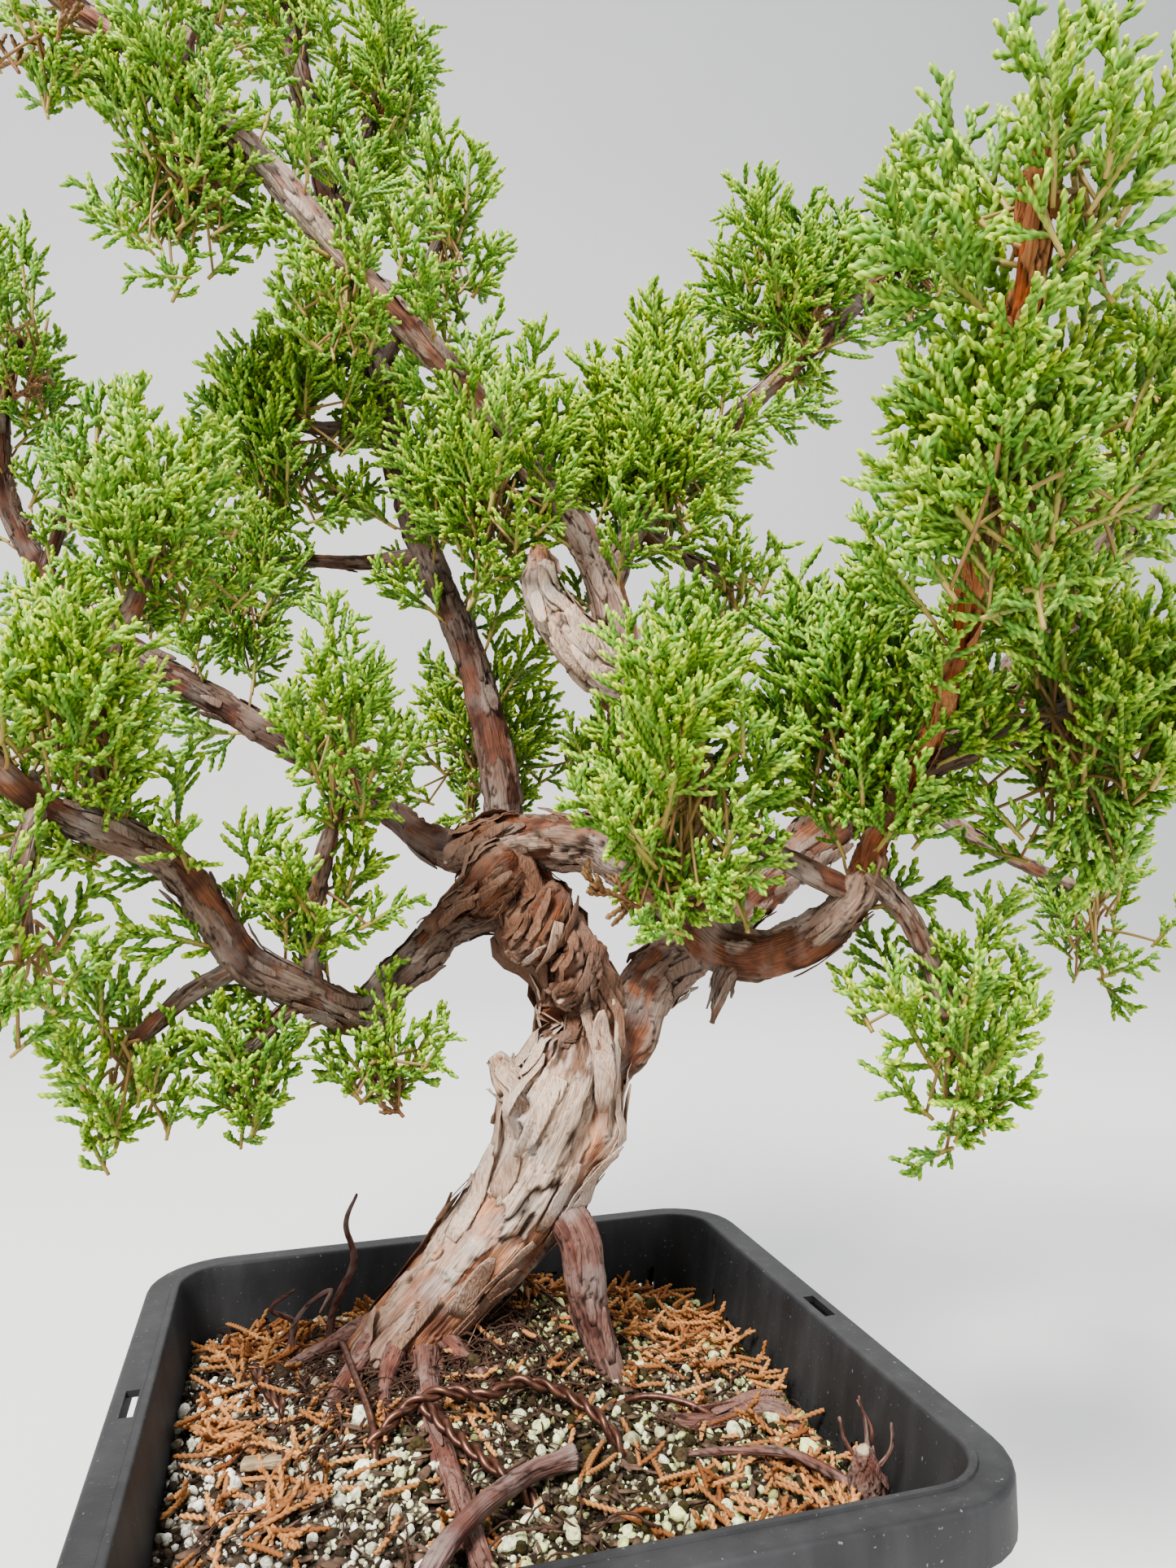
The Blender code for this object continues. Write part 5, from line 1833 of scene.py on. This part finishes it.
@dataclass
class Foliage:
    """All the living foliage, in pads and along the limbs."""

    seed: int = 29
    lengths: tuple[float, ...] = (15 * MM, 19 * MM, 23 * MM, 28 * MM)
    variants: int = 5
    spray_room: float = 1720 * MM**3
    fewest_sprays: int = 16
    most_faces: int = 90000
    dried_share: float = 0.03
    gap_below: float = 0.90
    gap_chance: float = 0.6
    lobe: float = 0.36
    scatter: float = 0.14
    rise: float = 0.60
    library: dict[float, list[MeshData]] = field(default_factory=dict)

    def grow_library(self) -> None:
        """Grows a few sprays of each length, to be set all over the tree."""
        maker = SprayMaker(np.random.default_rng(self.seed))
        for length in self.lengths:
            self.library[length] = [maker.spray(length) for _ in range(self.variants)]
        LOG.info("spray library: %s faces", [len(self.library[length][0].quads) for length in self.lengths])

    def twig(self, start: Array, end: Array, rng: Rng) -> MeshData:
        """A bare twig that carries a spray."""
        share = np.linspace(0, 1, 7)[:, None]
        sag = np.sin(share * math.pi) * rng.normal(0, 0.9 * MM, 3)
        thick = np.linspace(0.46, 0.34, 7)[:, None] * MM * np.ones((1, 5))
        mesh = tube(start + (end - start) * share + sag, thick)
        tint, dead = rng.uniform(0.2, 0.6), rng.uniform(0.3, 0.9)
        mesh.mark_evenly(along=0.0, tint=tint, crest=0.8, woody=0.9, dead=dead)
        return mesh

    def pick(self, wanted: float, rng: Rng) -> tuple[MeshData, float, float]:
        """A spray near the wanted length, with its length and the scale that makes it right."""
        length = min(self.lengths, key=lambda known: abs(known - wanted))
        scale = float(np.clip(wanted / length, 0.85, 1.15))
        return self.library[length][rng.integers(self.variants)], length, scale

    def build_pad(self, node: str, material: Material) -> Piece:
        """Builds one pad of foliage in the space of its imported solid.

        Args:
            node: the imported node.
            material: the leaves' finish.

        Returns:
            The piece.
        """
        rng = np.random.default_rng(sum(map(ord, node)) * 7 + self.seed)
        centre, half = packed_space(node)
        mean = half.mean()
        count = max(self.fewest_sprays, int(BALL_VOLUME * half.prod() / self.spray_room))
        index = np.arange(count) + 0.5
        polar = np.arccos(1 - 2 * index / count)
        turn = 2 * math.pi * GOLDEN_RATIO * index + rng.uniform(0, FULL_TURN)
        ways = np.stack([np.cos(turn) * np.sin(polar), np.sin(turn) * np.sin(polar), np.cos(polar)], axis=1)
        ways = unit(ways + rng.normal(0, self.scatter, ways.shape))
        lobes = 1 + self.lobe * Noise.smooth(ways * 1.7 + rng.uniform(0, 90, 3), self.seed)
        depths = lobes * (1.16 - 0.62 * ((index * 0.618) % 1) ** 1.3)
        root = centre - [0, 0, half[2] * 0.5]
        parts: list[MeshData] = []
        faces = 0
        tilt = rng.normal(0, 0.06)
        for way, depth, lobe in zip(ways, depths, lobes):
            if lobe < self.gap_below and way[2] > -0.3 and rng.random() < self.gap_chance:
                continue
            crown = max(way[2], 0.0)
            shape = way * [1 - 0.25 * crown**2, 1 - 0.25 * crown**2, 1 + 0.10 * crown]
            tip = centre + shape * half * depth * rng.uniform(0.97, 1.10)
            heading = unit(tip - root + [0, 0, self.rise * mean] + rng.normal(0, 0.16 * mean, 3))
            wanted = mean * rng.uniform(0.80, 1.20)
            while wanted > self.lengths[0] and (((tip - heading * wanted - centre) / half) ** 2).sum() > 0.6:
                wanted -= 2 * MM
            spray, length, scale = self.pick(wanted, rng)
            base = tip - heading * length * scale
            # Painted light and shade: sprays deeper in the pad come out darker, those further out or facing
            # up brighter; the pad's and the spray's random parts are their own colour.
            shade = tilt + rng.normal(0, 0.09) + 0.20 * (depth - 0.95) + 0.08 * way[2]
            dried = 1.0 if length == self.lengths[0] and rng.random() < self.dried_share else 0.0
            parts.append(placed(spray, base, heading, rng.uniform(0, FULL_TURN), scale, shade, dried))
            start = centre + rng.normal(0, 0.15, 3) * half - [0, 0, 0.15 * half[2]]
            parts.append(self.twig(start, base + heading * 2 * MM, rng))
            faces += len(spray.quads)
            if faces > self.most_faces:
                break
        piece = MeshData.join(parts).to_object(node.replace("foliage_", "leaves_"), material)
        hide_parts(node)
        return piece

    def build_along(
        self, name: str, run: Array, span: tuple[float, float], spacing: float, material: Material
    ) -> Piece:
        """Builds the short tufts that break straight from a limb.

        Args:
            name: the limb.
            run: the limb's knots in metres, with radii.
            span: the shares of its length between which tufts stand.
            spacing: distance between tufts.
            material: the leaves' finish.

        Returns:
            The piece.
        """
        rng = np.random.default_rng(sum(map(ord, name)) + self.seed)
        rows = smooth_route(run, 1 * MM)
        tangents = unit(np.gradient(rows[:, :3], axis=0))
        first, last = int(span[0] * len(rows)), int(span[1] * (len(rows) - 1))
        parts = []
        turn = rng.uniform(0, FULL_TURN)
        for row in range(first, last, max(1, round(spacing / MM))):
            turn += SPIRAL_TURN
            side = unit(np.cross(tangents[row], way_at(turn, 0.35)))
            heading = unit(side + 0.5 * tangents[row] + np.array([0, 0, 0.6]))
            wanted = rng.uniform(15, 27) * MM
            spray, _, scale = self.pick(wanted, rng)
            start = rows[row, :3]
            stalk = start + heading * (rows[row, 3] + rng.uniform(1, 5) * MM)
            spin = rng.uniform(0, FULL_TURN)
            parts.append(placed(spray, stalk, heading, spin, scale, rng.normal(0.02, 0.10)))
            parts.append(self.twig(start, stalk + heading * MM, rng))
        piece = MeshData.join(parts).to_object(f"{name}_tufts", material)
        return piece


# Where tufts break straight from each limb, as shares of its length, and how far apart.
TUFT_SPANS: dict[str, tuple[tuple[float, float], float]] = {
    "limb_left": ((0.34, 0.98), 6.5 * MM),
    "limb_right_front": ((0.42, 0.97), 7 * MM),
    "limb_right_back": ((0.45, 0.97), 7 * MM),
    "leader_back": ((0.14, 0.98), 6.5 * MM),
    "leader_front": ((0.20, 0.98), 6 * MM),
    "limb_centre": ((0.15, 0.97), 5.5 * MM),
    "limb_far_left": ((0.30, 0.97), 7 * MM),
}


# -------- studio


@dataclass(frozen=True)
class Softbox:
    """A soft square lamp aimed at the tree's middle."""

    name: str
    place: Place
    size: float
    power: float
    tone: Colour

    def build(self, aim: Place) -> None:
        """Adds the lamp to the scene, turned towards aim."""
        data = bpy.data.lights.new(self.name, "AREA")
        data.shape = "SQUARE"
        data.size = self.size
        data.energy = self.power
        data.color = self.tone
        lamp = linked_object(self.name, data)
        lamp.location = self.place
        way = Vector(aim) - Vector(self.place)
        lamp.rotation_euler = way.to_track_quat("-Z", "Y").to_euler()


# A key from the upper left, a fill from the right and a light from behind.
SOFTBOXES = (
    Softbox("key_softbox", (-0.75, -0.85, 1.5), 0.50, 72.0, (1.0, 0.98, 0.94)),
    Softbox("fill_softbox", (1.3, -0.9, 0.8), 1.2, 10.0, (0.95, 0.98, 1.0)),
    Softbox("back_softbox", (0.4, 1.1, 1.4), 0.9, 10.0, (1.0, 1.0, 1.0)),
)


@dataclass
class Studio:
    """Floor, lights and camera."""

    lens: float = 24.94
    place: Place = (-0.0470, -0.2537, 0.193)
    heading: float = 15.38
    pitch: float = 3.657
    roll: float = -1.114
    sensor: float = 36.0
    nearest: float = 0.01
    floor_front: float = 3.0
    floor_side: float = 3.5
    floor_depth: float = 1.2
    floor_sweep: float = 0.8
    backdrop_height: float = 3.2
    aim: Place = (0.02, 0.0, 0.25)
    surround: float = 0.75

    def build_floor(self) -> Piece:
        """A pale floor that sweeps up into a backdrop."""
        bend = np.radians(np.linspace(0, 90, 16))
        start, sweep = self.floor_depth, self.floor_sweep
        back = start + sweep
        y = np.concatenate([[-self.floor_front, 0.0, start], start + sweep * np.sin(bend), [back, back]])
        z = np.concatenate([[0, 0, 0], sweep * (1 - np.cos(bend)), [back, self.backdrop_height]])
        x = np.linspace(-self.floor_side, self.floor_side, 5)
        points = np.stack([np.repeat(x, len(y)), np.tile(y, 5), np.tile(z, 5)], axis=1)
        column = np.arange(4)[:, None] * len(y)
        row = np.arange(len(y) - 1)[None]
        corners = [column + row, column + len(y) + row, column + len(y) + row + 1, column + row + 1]
        quads = np.stack(corners, axis=-1).reshape(-1, 4)
        finish = Finish("pale_studio_floor", 0.9, specular=0.2)
        mottle = finish.speckle(1.5, 2.0)
        finish.set("Base Color", finish.ramp(mottle, (0.3, (0.70, 0.70, 0.69)), (0.7, (0.74, 0.74, 0.73))))
        mesh = bpy.data.meshes.new("studio_floor")
        mesh.from_pydata(points.tolist(), [], quads.tolist())
        mesh.shade_smooth()
        mesh.materials.append(finish.material)
        floor = linked_object("studio_floor", mesh)
        return floor

    def build_lights(self) -> None:
        """Adds the lamps and an even pale surround."""
        for softbox in SOFTBOXES:
            softbox.build(self.aim)
        world = bpy.data.worlds.new("even_surround")
        world.use_nodes = True
        surround = world.node_tree.nodes["Background"]
        surround.inputs["Color"].default_value = (0.92, 0.95, 1.0, 1.0)
        surround.inputs["Strength"].default_value = self.surround
        bpy.context.scene.world = world

    def build_camera(self) -> None:
        """Sets the camera and the contrast that it records with."""
        bpy.context.scene.view_settings.look = "AgX - Medium High Contrast"
        heading, pitch, roll = (math.radians(angle) for angle in (self.heading, self.pitch, self.roll))
        level = Vector((math.sin(heading), math.cos(heading), 0))
        right = Vector((math.cos(heading), -math.sin(heading), 0))
        forward = level * math.cos(pitch) + Vector((0, 0, math.sin(pitch)))
        up = Vector((0, 0, math.cos(pitch))) - level * math.sin(pitch)
        tilted_right = right * math.cos(roll) + up * math.sin(roll)
        tilted_up = up * math.cos(roll) - right * math.sin(roll)
        data = bpy.data.cameras.new("camera")
        data.lens = self.lens
        data.sensor_width = self.sensor
        data.clip_start = self.nearest
        camera = linked_object("camera", data)
        turn = Matrix((tilted_right, tilted_up, -forward)).transposed()
        camera.matrix_world = Matrix.Translation(self.place) @ turn.to_4x4()
        bpy.context.scene.camera = camera


# -------- all together


def main() -> None:
    """Builds the bonsai and its studio."""
    logging.basicConfig(level=logging.INFO, format="%(name)s: %(message)s")
    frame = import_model()
    basket = TrainingBasket.from_frame()
    soil = SoilBed(basket)
    studio = Studio()
    studio.build_camera()
    studio.build_floor()
    studio.build_lights()

    pieces = [basket.build(PlasticFinish().build()), soil.build_bed(SoilFinish().build())]
    pieces += soil.build_layers(GrainFinish().build())
    wood = WoodWorker(soil)
    pieces += [wood.build_trunk(), wood.build_knuckle(), wood.build_foot_roots()]
    for index, (name, runs) in enumerate(LIMB_RUNS.items()):
        pieces.append(wood.build_limb(name, runs, 100 + 20 * index))
    pieces.append(wood.build_root("prop_root", PROP_ROOT, 61))
    for index, (name, run) in enumerate(SURFACE_ROOTS.items()):
        pieces.append(wood.build_root(name, run, 63 + index))
    pieces += [wood.build_stick(), *wood.build_stump(), wood.build_chip()]
    wires = AnchorWires(soil)
    metal = WireFinish().build()
    for name in WIRES:
        strand = Strand.SINGLE if name.endswith("leg") else Strand.TWISTED
        pieces.append(wires.build(name, strand, metal))
    foliage = Foliage()
    foliage.grow_library()
    maker = SprayMaker(np.random.default_rng(7), thickness=0.58 * MM, step=0.65 * MM, side_spacing=2.2 * MM)
    litter = Litter(soil, [maker.spray(size * MM, 0.8) for size in (7, 9, 10, 12)])
    hair = CutWoodFinish("hair_root_skin", (0.095, 0.052, 0.036), (0.028, 0.014, 0.010)).build()
    scraps = CutWoodFinish("dark_scraps", (0.16, 0.10, 0.07), (0.035, 0.022, 0.016)).build()
    pieces.append(litter.build_dry_shoots(DeadShootFinish().build()))
    pieces += [litter.build_hairs(hair), litter.build_scraps(scraps)]
    leaves = LeafFinish().build()
    for node in sorted(frame["nodes"]):
        if node.startswith("foliage_"):
            pieces.append(foliage.build_pad(node, leaves))
    for name, (span, spacing) in TUFT_SPANS.items():
        run = wood.above_rim(LIMB_RUNS[name][0])
        pieces.append(foliage.build_along(name, run, span, spacing, leaves))
    LOG.info("faces in all: %d", sum(len(piece.data.polygons) for piece in pieces))
    for piece in pieces:
        LOG.info("%s: %d faces", piece.name, len(piece.data.polygons))


if __name__ == "__main__":
    main()
